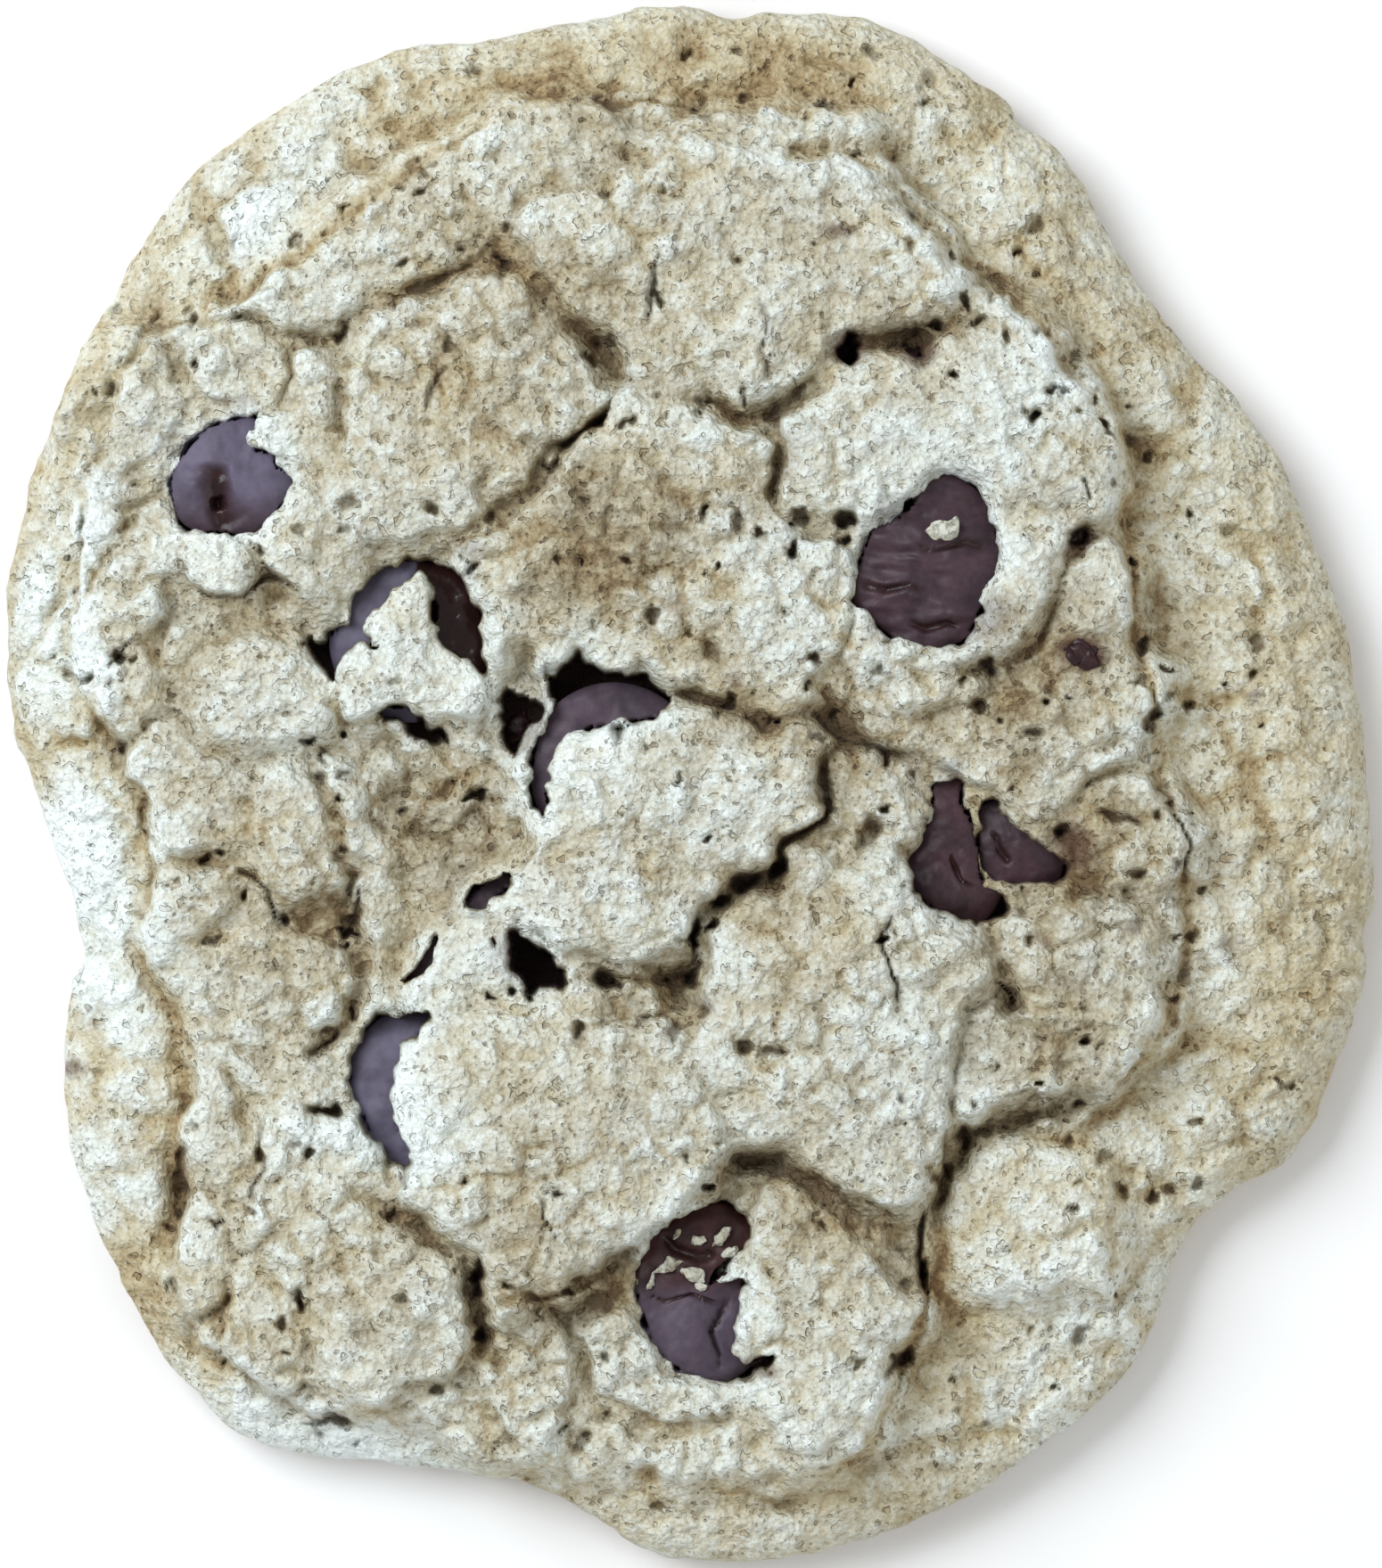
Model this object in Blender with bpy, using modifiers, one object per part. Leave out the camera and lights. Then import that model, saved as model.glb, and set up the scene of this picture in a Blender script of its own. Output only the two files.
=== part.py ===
"""A home-baked chocolate chip cookie: one cracked crust with eight chocolate chips baked into it.

The frame: the origin is under the middle of the cookie, on the flat face it lies on. X runs across
the cookie, Y along its longer way, and Z up. Sizes below are in millimetres, and MM makes them metres.
"""

import math

import bmesh
import bpy
import numpy as np

MM = 0.001
GAP = 0.3  # air between a chip and its socket

# The crust's outline seen from above, clockwise from the top, with its small notches.
OUTLINE = [
    (-1.7, 50.3), (2.3, 49.6), (5.5, 50.0), (10.6, 49.5), (16.4, 47.0), (20.4, 44.0), (21.3, 42.6),
    (24.4, 40.5), (27.9, 33.9), (31.9, 28.5), (37.7, 21.9), (40.0, 16.1), (42.0, 10.9), (43.2, 4.5),
    (44.3, -6.0), (43.5, -9.2), (43.7, -12.6), (41.9, -18.0), (39.1, -23.6), (32.2, -29.0),
    (28.8, -37.4), (22.7, -43.1), (14.7, -47.7), (6.0, -50.0), (-2.0, -49.8), (-10.1, -45.5),
    (-19.8, -44.0), (-29.0, -42.0), (-35.1, -35.1), (-39.1, -26.5), (-40.4, -20.7), (-40.2, -13.5),
    (-39.1, -10.5), (-41.7, -2.3), (-44.0, 5.8), (-43.7, 15.0), (-40.3, 25.3), (-36.8, 32.2),
    (-31.3, 40.0), (-21.6, 46.5), (-12.4, 48.4),
]
SPLINE_STEPS = 8

# The step where the raised middle meets the low rim, clockwise from the top.
PLATEAU = [
    (-0.9, 43.1), (9.5, 43.1), (16.4, 35.1), (26.2, 25.3), (29.0, 10.4), (32.2, -4.0), (30.8, -15.5),
    (25.6, -21.3), (16.1, -23.6), (14.7, -34.5), (11.2, -42.0), (2.6, -45.1), (-18.2, -40.6),
    (-30.0, -36.6), (-33.4, -31.8), (-32.0, -18.6), (-35.1, -7.5), (-34.2, -2.5), (-39.0, 7.8),
    (-38.8, 18.4), (-30.2, 29.9), (-17.0, 39.4), (-6.6, 44.0),
]

EDGE_HEIGHT = 2.4  # height of the crust's widest line
RIM_HEIGHT = 6.4  # top of the low rim
RIM_ROLL = 6.0  # how far in from the outline the rim reaches its top
PLATEAU_RISE = 1.6
STEP_WIDTH = 2.2
UNDER_EDGE = [(0.35, 1.0), (1.05, 0.0)]  # (how much further in, height) of the rounded lower edge
GRID_CELLS = 50  # cells across the crust's top

# Raised blocks between the cracks: middle, half length, half width, turn in degrees, top.
BLOCKS = {
    "north": (2.5, 33.0, 14.5, 8.2, -8, 11.4),
    "north_west": (-14.0, 24.2, 9.6, 8.0, 20, 11.2),
    "round_upturned_chip": (-31.0, 21.5, 8.5, 6.5, 30, 9.8),
    "lobe": (-28.0, 13.6, 5.6, 2.6, 5, 10.2),
    "middle_north": (-2.2, 15.2, 11.2, 8.8, 6, 12.2),
    "north_east": (16.5, 21.0, 12.0, 8.4, -14, 12.0),
    "east_ledge": (13.5, 6.4, 7.2, 3.6, -4, 11.0),
    "east_crumb": (24.0, 3.6, 7.6, 6.0, 0, 10.2),
    "middle": (-1.4, -2.6, 9.6, 8.0, 0, 12.4),
    "flap": (-12.6, -11.0, 6.2, 4.2, 40, 10.6),
    "south": (-8.6, -22.6, 10.8, 8.4, -18, 12.6),
    "south_east": (9.0, -15.6, 9.4, 10.2, 0, 12.0),
    "east": (24.2, -14.6, 7.8, 5.4, -8, 11.0),
    "west": (-29.6, 2.2, 7.8, 8.6, 0, 10.6),
    "west_low": (-26.4, -11.0, 6.0, 7.6, 0, 9.4),
    "tongue": (-17.6, 5.0, 4.6, 3.0, 0, 10.4),
    "south_west": (-23.2, -27.0, 5.2, 4.8, 0, 10.0),
    "south_west_low": (-18.4, -34.8, 5.0, 5.2, 0, 10.2),
    "rim_corner": (-30.4, -32.0, 3.0, 3.8, 10, 8.6),
    "round_cracked_chip": (7.8, -34.8, 6.6, 8.6, 10, 10.8),
    "south_lump": (-9.8, -38.0, 3.6, 4.0, 0, 9.4),
    "south_east_rim": (21.6, -28.0, 6.2, 6.0, 0, 8.6),
}
BLOCK_WALL = 2.8  # how far in from its edge a block reaches its top
BLOCK_CROWN = 0.7  # how much higher a block's middle is than its shoulder
BLOCK_SQUARENESS = 2.6  # 2 is an ellipse, more is squarer

# Chips: middle, half length, half width, height, lowest point, whether the flat side is up,
# and where its opening in the crust lies: middle, half length, half width.
CHIPS = {
    "chip_upturned": (-29.4, 19.4, 4.2, 4.2, 5.4, 3.9, True, (-29.4, 19.4, 4.6, 4.6)),
    "chip_horned": (-17.7, 8.8, 4.9, 4.9, 5.4, 3.4, False, (-17.6, 10.8, 5.4, 4.8)),
    "chip_crescent": (-4.9, 1.0, 5.1, 5.1, 6.0, 4.2, False, (-7.2, 4.6, 4.8, 3.8)),
    "chip_smeared": (15.2, 13.8, 5.1, 4.6, 5.2, 5.0, False, (15.2, 13.8, 5.6, 5.2)),
    "chip_split_left": (16.6, -4.9, 2.3, 4.2, 4.6, 4.4, False, (17.4, -4.6, 4.0, 5.0)),
    "chip_split_right": (21.7, -4.2, 2.4, 2.8, 4.6, 4.4, False, (21.4, -4.2, 3.8, 3.6)),
    "chip_bluish": (-17.2, -20.0, 4.9, 4.9, 5.8, 3.8, False, (-20.4, -19.4, 3.2, 6.0)),
    "chip_cracked": (1.4, -32.9, 4.9, 4.9, 5.4, 3.6, False, (0.2, -33.0, 4.6, 5.6)),
    "chip_under_flap": (-11.9, -11.0, 4.4, 4.4, 5.4, 3.6, False, (-14.6, -8.6, 3.0, 2.6)),
}
CHIP_EDGE = 0.9  # rounding of a chip's flat side
CHIP_STEPS = 14
SEAM_MERGE = 0.00001  # metres
DOME_STEPS = 5
EDGE_STEPS = 2
OPENING_DEPTH = 1.8  # how far a chip stands out of its opening
OPENING_WALL = 1.4

DOUGH_COLOUR = (0.58, 0.49, 0.34, 1.0)
CHOCOLATE_COLOUR = (0.062, 0.036, 0.034, 1.0)


def clear_scene():
    for obj in list(bpy.data.objects):
        bpy.data.objects.remove(obj)


def new_collection(name):
    collection = bpy.data.collections.new(name)
    bpy.context.scene.collection.children.link(collection)
    return collection


def new_material(name, colour, roughness):
    material = bpy.data.materials.new(name)
    material.use_nodes = True
    shader = material.node_tree.nodes["Principled BSDF"]
    shader.inputs["Base Color"].default_value = colour
    shader.inputs["Roughness"].default_value = roughness
    shader.inputs["Metallic"].default_value = 0.0
    return material


def closed_spline(points):
    """Points along a closed Catmull-Rom curve through the given ones."""
    points = np.array(points)
    before, after, last = (np.roll(points, shift, axis=0) for shift in (1, -1, -2))
    curve = []
    for t in np.arange(SPLINE_STEPS) / SPLINE_STEPS:
        curve.append(
            0.5 * (2 * points + (after - before) * t
                   + (2 * before - 5 * points + 4 * after - last) * t ** 2
                   + (3 * points - before - 3 * after + last) * t ** 3)
        )
    return np.stack(curve, axis=1).reshape(-1, 2)


def reach_by_angle(points, shift):
    """A function that gives a closed outline's distance from the middle at any angle."""
    curve = closed_spline(points) - shift
    angles = np.arctan2(curve[:, 1], curve[:, 0])
    order = np.argsort(angles)
    reaches = np.hypot(curve[:, 0], curve[:, 1])

    def reach(angle):
        return np.interp(angle, angles[order], reaches[order], period=2 * math.pi)

    return reach


def smooth(t):
    t = np.clip(t, 0.0, 1.0)
    return t * t * (3 - 2 * t)


def oval_depth(x, y, middle_x, middle_y, half_length, half_width, turn=0.0):
    """How far inside a rounded oval each point lies, in millimetres, negative outside."""
    angle = math.radians(turn)
    along = (x - middle_x) * math.cos(angle) + (y - middle_y) * math.sin(angle)
    across = (y - middle_y) * math.cos(angle) - (x - middle_x) * math.sin(angle)
    power = BLOCK_SQUARENESS
    radius = (np.abs(along / half_length) ** power + np.abs(across / half_width) ** power) ** (1 / power)
    return (1 - radius) * min(half_length, half_width)


def crust_height(x, y, outline_reach, plateau_reach):
    """The height of the crust's top over each point."""
    angle = np.arctan2(y, x)
    distance = np.hypot(x, y)
    from_edge = np.clip((outline_reach(angle) - distance) / RIM_ROLL, 0.0, 1.0)
    rim = EDGE_HEIGHT + (RIM_HEIGHT - EDGE_HEIGHT) * np.sqrt(1 - (1 - from_edge) ** 2)
    height = rim + PLATEAU_RISE * smooth((plateau_reach(angle) - distance) / STEP_WIDTH)
    valley = height.copy()
    for middle_x, middle_y, half_length, half_width, turn, top in BLOCKS.values():
        depth = oval_depth(x, y, middle_x, middle_y, half_length, half_width, turn)
        crown = BLOCK_CROWN * np.clip(depth / min(half_length, half_width), 0.0, 1.0)
        raised = valley + (top - BLOCK_CROWN - valley) * smooth(depth / BLOCK_WALL) + crown
        height = np.where(depth > 0, np.maximum(height, raised), height)
    for _x, _y, _length, _width, chip_height, lowest, _flat_up, opening in CHIPS.values():
        depth = oval_depth(x, y, *opening)
        floor = lowest + chip_height - OPENING_DEPTH
        height += (np.minimum(floor, height) - height) * smooth(depth / OPENING_WALL)
    return height


def round_off(sheet):
    """(ring, angle) of each point of a square sheet, so that its square rings become round ones."""
    ring = np.abs(sheet).max(axis=1)
    wider = np.abs(sheet[:, 0]) >= np.abs(sheet[:, 1])
    turn = np.where(wider, sheet[:, 1], sheet[:, 0]) / np.where(ring == 0, 1.0, ring) * math.pi / 4
    sideways = np.where(sheet[:, 0] >= 0, turn, math.pi - turn)
    lengthways = np.where(sheet[:, 1] >= 0, math.pi / 2 - turn, turn - math.pi / 2)
    return ring, np.where(wider, sideways, lengthways)


def finish_object(name, shape, collection, material):
    mesh = bpy.data.meshes.new(name)
    shape.to_mesh(mesh)
    shape.free()
    mesh.materials.append(material)
    mesh.shade_smooth()
    obj = bpy.data.objects.new(name, mesh)
    collection.objects.link(obj)
    return obj


def build_crust(collection, material):
    """A square sheet rounded to the outline, raised to the crust's relief and closed underneath."""
    curve = closed_spline(OUTLINE)
    shift = (curve.min(axis=0) + curve.max(axis=0)) / 2
    outline_reach = reach_by_angle(OUTLINE, shift)
    plateau_reach = reach_by_angle(PLATEAU, shift)

    shape = bmesh.new()
    bmesh.ops.create_grid(shape, x_segments=GRID_CELLS, y_segments=GRID_CELLS, size=1.0)
    ring, angle = round_off(np.array([vertex.co[:2] for vertex in shape.verts]))
    reach = ring * outline_reach(angle)
    x = reach * np.cos(angle)
    y = reach * np.sin(angle)
    z = crust_height(x, y, outline_reach, plateau_reach)
    for vertex, place in zip(shape.verts, np.stack([x, y, z], axis=1)):
        vertex.co = place * MM

    edges = [edge for edge in shape.edges if edge.is_boundary]
    for inset, height in UNDER_EDGE:
        extruded = bmesh.ops.extrude_edge_only(shape, edges=edges)["geom"]
        lower = [item for item in extruded if isinstance(item, bmesh.types.BMVert)]
        edges = [item for item in extruded if isinstance(item, bmesh.types.BMEdge)]
        for vertex in lower:
            vertex.co.xy *= 1 - inset * MM / vertex.co.xy.length
            vertex.co.z = height * MM
    bmesh.ops.edgeloop_fill(shape, edges=edges)
    bmesh.ops.recalc_face_normals(shape, faces=shape.faces[:])
    return finish_object("dough", shape, collection, material)


def chip_profile(radius, height, gap):
    """(distance from the axis, height) down a chip's outer side: a dome over a rounded flat side."""
    profile = []
    for step in range(DOME_STEPS):
        angle = math.pi / 2 * step / DOME_STEPS
        profile.append((
            (radius + gap) * math.sin(angle),
            CHIP_EDGE + (height - CHIP_EDGE + gap) * math.cos(angle),
        ))
    for step in range(EDGE_STEPS + 1):
        angle = math.pi / 2 * step / EDGE_STEPS
        profile.append((
            radius - CHIP_EDGE + (CHIP_EDGE + gap) * math.cos(angle),
            CHIP_EDGE - (CHIP_EDGE + gap) * math.sin(angle),
        ))
    profile.append((0.0, -gap))
    return profile


def build_chip(name, place, gap, collection, material):
    """A turned chip, drawn out to its oval and set in its place; a gap makes it its own socket."""
    x, y, half_length, half_width, height, lowest, flat_up, _opening = place
    radius = max(half_length, half_width)
    shape = bmesh.new()
    corners = [
        shape.verts.new((across * MM, 0.0, up * MM)) for across, up in chip_profile(radius, height, gap)
    ]
    for upper, lower in zip(corners, corners[1:]):
        shape.edges.new((upper, lower))
    obj = finish_object(name, shape, collection, material)
    turned = obj.modifiers.new("turned", "SCREW")
    turned.steps = CHIP_STEPS
    turned.render_steps = CHIP_STEPS
    turned.use_merge_vertices = True
    turned.merge_threshold = SEAM_MERGE
    obj.scale = ((half_length + gap) / (radius + gap), (half_width + gap) / (radius + gap), 1.0)
    obj.location = (x * MM, y * MM, lowest * MM)
    if flat_up:
        obj.location.z = (lowest + height) * MM
        obj.rotation_euler.x = math.pi
    return obj


def cut_socket(crust, socket):
    socket.hide_render = True
    socket.display_type = "WIRE"
    cut = crust.modifiers.new(socket.name, "BOOLEAN")
    cut.operation = "DIFFERENCE"
    cut.solver = "EXACT"
    cut.object = socket


def main():
    clear_scene()
    cookie = new_collection("chocolate_chip_cookie")
    cutters = new_collection("cutters")
    dough = new_material("dough", DOUGH_COLOUR, 0.85)
    chocolate = new_material("chocolate", CHOCOLATE_COLOUR, 0.35)
    crust = build_crust(cookie, dough)
    for name, place in CHIPS.items():
        build_chip(name, place, 0.0, cookie, chocolate)
        cut_socket(crust, build_chip(f"socket_{name}", place, GAP, cutters, dough))


main()
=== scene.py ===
# %% [markdown]
# # A chocolate chip cookie
# This lesson dresses a finished solid model of a home-baked cookie. The model's crust and chips are
# plain faceted solids. Here each gets the surface that baking gives the real one: a low, dusty rim, a
# raised middle that broke into blocks as it rose, cracks, pinholes, and chips of dark chocolate that
# softened in the oven. The solid model is loaded first, and its size is kept to print beside the
# dressed one's at the end.

import math

import bpy
import numpy as np
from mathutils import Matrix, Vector


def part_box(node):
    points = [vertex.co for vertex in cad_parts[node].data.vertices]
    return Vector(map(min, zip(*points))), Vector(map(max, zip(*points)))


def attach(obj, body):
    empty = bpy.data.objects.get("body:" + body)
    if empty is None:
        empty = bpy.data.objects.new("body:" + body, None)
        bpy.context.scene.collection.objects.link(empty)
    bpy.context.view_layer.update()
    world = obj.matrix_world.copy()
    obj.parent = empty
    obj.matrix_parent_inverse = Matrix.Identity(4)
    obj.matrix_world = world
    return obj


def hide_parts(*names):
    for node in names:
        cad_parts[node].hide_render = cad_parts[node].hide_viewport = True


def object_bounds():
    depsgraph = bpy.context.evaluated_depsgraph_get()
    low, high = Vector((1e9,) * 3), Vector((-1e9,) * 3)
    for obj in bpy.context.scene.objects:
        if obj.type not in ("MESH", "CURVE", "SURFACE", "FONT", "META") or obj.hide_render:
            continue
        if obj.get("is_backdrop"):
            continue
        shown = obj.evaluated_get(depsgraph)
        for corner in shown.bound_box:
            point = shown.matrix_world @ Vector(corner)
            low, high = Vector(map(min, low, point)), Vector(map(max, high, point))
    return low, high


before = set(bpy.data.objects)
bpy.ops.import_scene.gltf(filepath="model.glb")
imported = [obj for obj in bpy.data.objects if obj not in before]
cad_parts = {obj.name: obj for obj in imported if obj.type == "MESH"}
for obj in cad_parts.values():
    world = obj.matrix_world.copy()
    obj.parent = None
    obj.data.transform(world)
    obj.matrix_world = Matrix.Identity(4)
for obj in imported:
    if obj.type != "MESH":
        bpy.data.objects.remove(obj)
solid_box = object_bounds()
MM = 0.001
crust_low, crust_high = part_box("dough")
print("the crust is", [round((b - a) / MM, 1) for a, b in zip(crust_low, crust_high)], "mm")

# %% [markdown]
# ## Camera, floor and light
# A flat-lay view looks straight down. A long lens far away keeps the cookie's edge and its higher
# middle at the same scale, as the eye sees a small thing from a distance. The light is soft: a wide
# cool panel on the upper left, a weaker warm one on the right, and a pale sky that fills the cracks.

# %% Camera, floor and light
FRAME_HEIGHT = 0.10112
LENS = 250.0
SENSOR = 36.0
EDGE_LINE = 0.004  # the height on the crust at which the framing is measured

distance = FRAME_HEIGHT / 2 / math.tan(math.atan(SENSOR / 2 / LENS))
bpy.ops.object.camera_add(location=(0, 0, EDGE_LINE + distance), rotation=(0, 0, 0))
camera = bpy.context.object
camera.data.lens = LENS
camera.data.sensor_width = SENSOR
bpy.context.scene.camera = camera

bpy.ops.mesh.primitive_plane_add(size=3.0, location=(0, 0, crust_low.z))
floor = bpy.context.object
floor.name = "floor"
pale = bpy.data.materials.new("pale_floor")
pale.use_nodes = True
pale.node_tree.nodes["Principled BSDF"].inputs["Base Color"].default_value = (0.97, 0.97, 0.97, 1.0)
pale.node_tree.nodes["Principled BSDF"].inputs["Roughness"].default_value = 0.9
floor.data.materials.append(pale)
floor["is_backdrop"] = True


def add_panel(name, place, size, power, colour):
    """A soft square light that looks at the cookie."""
    bpy.ops.object.light_add(type="AREA", location=place)
    lamp = bpy.context.object
    lamp.name = name
    lamp.data.size = size
    lamp.data.energy = power
    lamp.data.color = colour
    lamp.rotation_euler = Vector(place).to_track_quat("Z", "Y").to_euler()
    return lamp


add_panel("panel_left", (-0.42, 0.28, 0.55), 0.5, 5.1, (0.92, 0.96, 1.0))
add_panel("panel_right", (0.50, -0.25, 0.50), 0.5, 0.9, (1.0, 0.97, 0.92))
sky = bpy.data.worlds.new("sky")
sky.use_nodes = True
sky.node_tree.nodes["Background"].inputs["Color"].default_value = (0.97, 0.99, 1.0, 1.0)
sky.node_tree.nodes["Background"].inputs["Strength"].default_value = 0.46
bpy.context.scene.world = sky
bpy.context.scene.view_settings.view_transform = "Standard"
print("the camera stands", round(distance, 3), "m above the rim")

# %% [markdown]
# ## Tools for shapes in the dough
# Baked dough has no straight edges. Every feature below is laid out by a few points in millimetres,
# joined by a smooth curve, and then made ragged by shifting the places at which it is looked up with
# small random hills. The same hills, seeded so that they never change, give the crumb its lumps.

# %% Curves and random hills
CURVE_STEPS = 6
LATTICE = 256
LATTICE_SHIFT = 500.0  # keeps every place on the positive side of the lattice
FAR = 1e9


def smooth(t):
    """Eases from 0 to 1."""
    t = np.clip(t, 0.0, 1.0)
    return t * t * (3 - 2 * t)


def closed_curve(points):
    """Points along a smooth closed curve through the given ones."""
    points = np.array(points, float)
    before, after, last = (np.roll(points, shift, axis=0) for shift in (1, -1, -2))
    steps = [
        0.5 * (2 * points + (after - before) * t
               + (2 * before - 5 * points + 4 * after - last) * t ** 2
               + (3 * points - before - 3 * after + last) * t ** 3)
        for t in np.arange(CURVE_STEPS) / CURVE_STEPS
    ]
    return np.stack(steps, axis=1).reshape(-1, 2)


def hills(x, y, size, seed):
    """Smooth random hills from -1 to 1, about `size` millimetres apart."""
    heights = np.random.default_rng(seed).uniform(-1, 1, (LATTICE, LATTICE))
    # Each seed turns its lattice by its own angle, so that no direction stands out.
    cosine = math.cos(seed * 2.4)
    sine = math.sin(seed * 2.4)
    u = (x * cosine + y * sine) / size + LATTICE_SHIFT
    v = (y * cosine - x * sine) / size + LATTICE_SHIFT
    i = np.floor(u).astype(int)
    j = np.floor(v).astype(int)
    s = smooth(u - i)
    t = smooth(v - j)
    i0, i1, j0, j1 = (k % LATTICE for k in (i, i + 1, j, j + 1))
    this_row = heights[i0, j0] * (1 - s) + heights[i1, j0] * s
    next_row = heights[i0, j1] * (1 - s) + heights[i1, j1] * s
    return this_row * (1 - t) + next_row * t


def rough(x, y, size, seed, layers=3):
    """Hills on hills, each layer half the size and half the height of the last."""
    total = 0.0
    for layer in range(layers):
        total = total + hills(x, y, size / 2 ** layer, seed + layer) / 2 ** layer
    return total


def cells(x, y, size, seed):
    """(distance to the edge of its cell, a number of its own) for a pattern of uneven cells."""
    random = np.random.default_rng(seed)
    offsets = random.uniform(0.15, 0.85, (LATTICE, LATTICE, 2))
    own = random.uniform(0, 1, (LATTICE, LATTICE))
    u = (0.88 * x + 0.47 * y) / size + LATTICE_SHIFT
    v = (0.88 * y - 0.47 * x) / size + LATTICE_SHIFT
    i = np.floor(u).astype(int)
    j = np.floor(v).astype(int)
    nearest = np.full(x.shape, 9.0)
    second = np.full(x.shape, 9.0)
    number = np.zeros(x.shape)
    for di in (-1, 0, 1):
        for dj in (-1, 0, 1):
            a = (i + di) % LATTICE
            b = (j + dj) % LATTICE
            away = np.hypot(i + di + offsets[a, b, 0] - u, j + dj + offsets[a, b, 1] - v)
            closer = away < nearest
            second = np.where(closer, nearest, np.minimum(second, away))
            number = np.where(closer, own[a, b], number)
            nearest = np.where(closer, away, nearest)
    return (second - nearest) * size, number


def share_along(x, y, ax, ay, bx, by):
    """How far along the line from a to b each place's nearest point is, from 0 to 1."""
    length_squared = (bx - ax) ** 2 + (by - ay) ** 2
    return np.clip(((x - ax) * (bx - ax) + (y - ay) * (by - ay)) / length_squared, 0, 1)


def depth_inside(outline, x, y):
    """How far inside a closed outline each place is, in millimetres, and negative outside it."""
    curve = closed_curve(outline)
    nearest = np.full(x.shape, FAR)
    inside = np.zeros(x.shape, bool)
    for (ax, ay), (bx, by) in zip(curve, np.roll(curve, -1, axis=0)):
        along = share_along(x, y, ax, ay, bx, by)
        away = (x - ax - along * (bx - ax)) ** 2 + (y - ay - along * (by - ay)) ** 2
        nearest = np.minimum(nearest, away)
        crosses = (ay > y) != (by > y)
        inside ^= crosses & (x < (bx - ax) * (y - ay) / np.where(by == ay, 1e-9, by - ay) + ax)
    return np.where(inside, 1, -1) * np.sqrt(nearest)


def distance_to_line(points, x, y):
    """How far each place is from an open line, and how far along the line its nearest point is."""
    nearest = np.full(x.shape, FAR)
    share = np.zeros(x.shape)
    spans = len(points) - 1
    for index, ((ax, ay), (bx, by)) in enumerate(zip(points, points[1:])):
        along = share_along(x, y, ax, ay, bx, by)
        away = np.hypot(x - ax - along * (bx - ax), y - ay - along * (by - ay))
        share = np.where(away < nearest, (index + along) / spans, share)
        nearest = np.minimum(nearest, away)
    return nearest, share


def near(points, margin, x, y):
    """Which places lie within a margin of the box round some points."""
    points = np.array(points)
    low = points.min(axis=0) - margin
    high = points.max(axis=0) + margin
    return (x > low[0]) & (x < high[0]) & (y > low[1]) & (y < high[1])


print("hills run from", hills(np.linspace(0, 50, 999), np.zeros(999), 3.0, 1).round(2)[[0, 500, 998]])

# %% [markdown]
# ## Where the features of the crust lie
# The crust is read as a map. The outline and the step up to the raised middle come first, then the
# blocks that the rising dough broke into, each with the height of its shoulder, how much its middle
# crowns, and how wide its broken edge is. What lies between two blocks is a valley or a crack.
# All places are in millimetres from the middle of the cookie.

# %% The outline and the step
OUTLINE = [
    (-1.7, 50.3), (2.3, 49.6), (5.5, 50.0), (10.6, 49.5), (16.4, 47.0), (20.4, 44.0), (21.3, 42.6),
    (24.4, 40.5), (27.9, 33.9), (31.9, 28.5), (37.7, 21.9), (40.0, 16.1), (42.0, 10.9), (43.2, 4.5),
    (44.3, -6.0), (43.5, -9.2), (43.7, -12.6), (41.9, -18.0), (39.1, -23.6), (32.2, -29.0),
    (28.8, -37.4), (22.7, -43.1), (14.7, -47.7), (6.0, -50.0), (-2.0, -49.8), (-10.1, -45.5),
    (-19.8, -44.0), (-29.0, -42.0), (-35.1, -35.1), (-39.1, -26.5), (-40.4, -20.7), (-40.2, -13.5),
    (-39.1, -10.5), (-41.7, -2.3), (-44.0, 5.8), (-43.7, 15.0), (-40.3, 25.3), (-36.8, 32.2),
    (-31.3, 40.0), (-21.6, 46.5), (-12.4, 48.4),
]
STEP = [
    (-4.3, 43.8), (-0.9, 43.1), (4.3, 42.8), (9.5, 43.1), (13.5, 38.2), (16.4, 35.1), (21.6, 31.1),
    (26.2, 25.3), (27.9, 18.4), (28.7, 10.4), (29.9, 2.9), (32.2, -4.0), (31.9, -12.7), (30.8, -15.5),
    (26.7, -19.6), (24.6, -22.2), (17.5, -22.4), (16.1, -23.6), (15.6, -29.0), (14.7, -34.5),
    (11.2, -42.0), (7.2, -44.6), (2.6, -45.1), (-4.9, -43.7), (-13.0, -43.6), (-18.2, -40.6),
    (-23.5, -40.9), (-27.0, -39.0), (-31.3, -35.3), (-33.4, -31.8), (-32.4, -26.3), (-32.0, -18.6),
    (-33.1, -14.1), (-35.5, -9.3), (-34.2, -2.5), (-38.2, 4.1), (-39.3, 12.2), (-38.8, 18.4),
    (-35.5, 28.4), (-30.2, 29.9), (-24.4, 34.5), (-17.0, 39.4), (-10.1, 43.2), (-6.6, 44.0),
]

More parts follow.
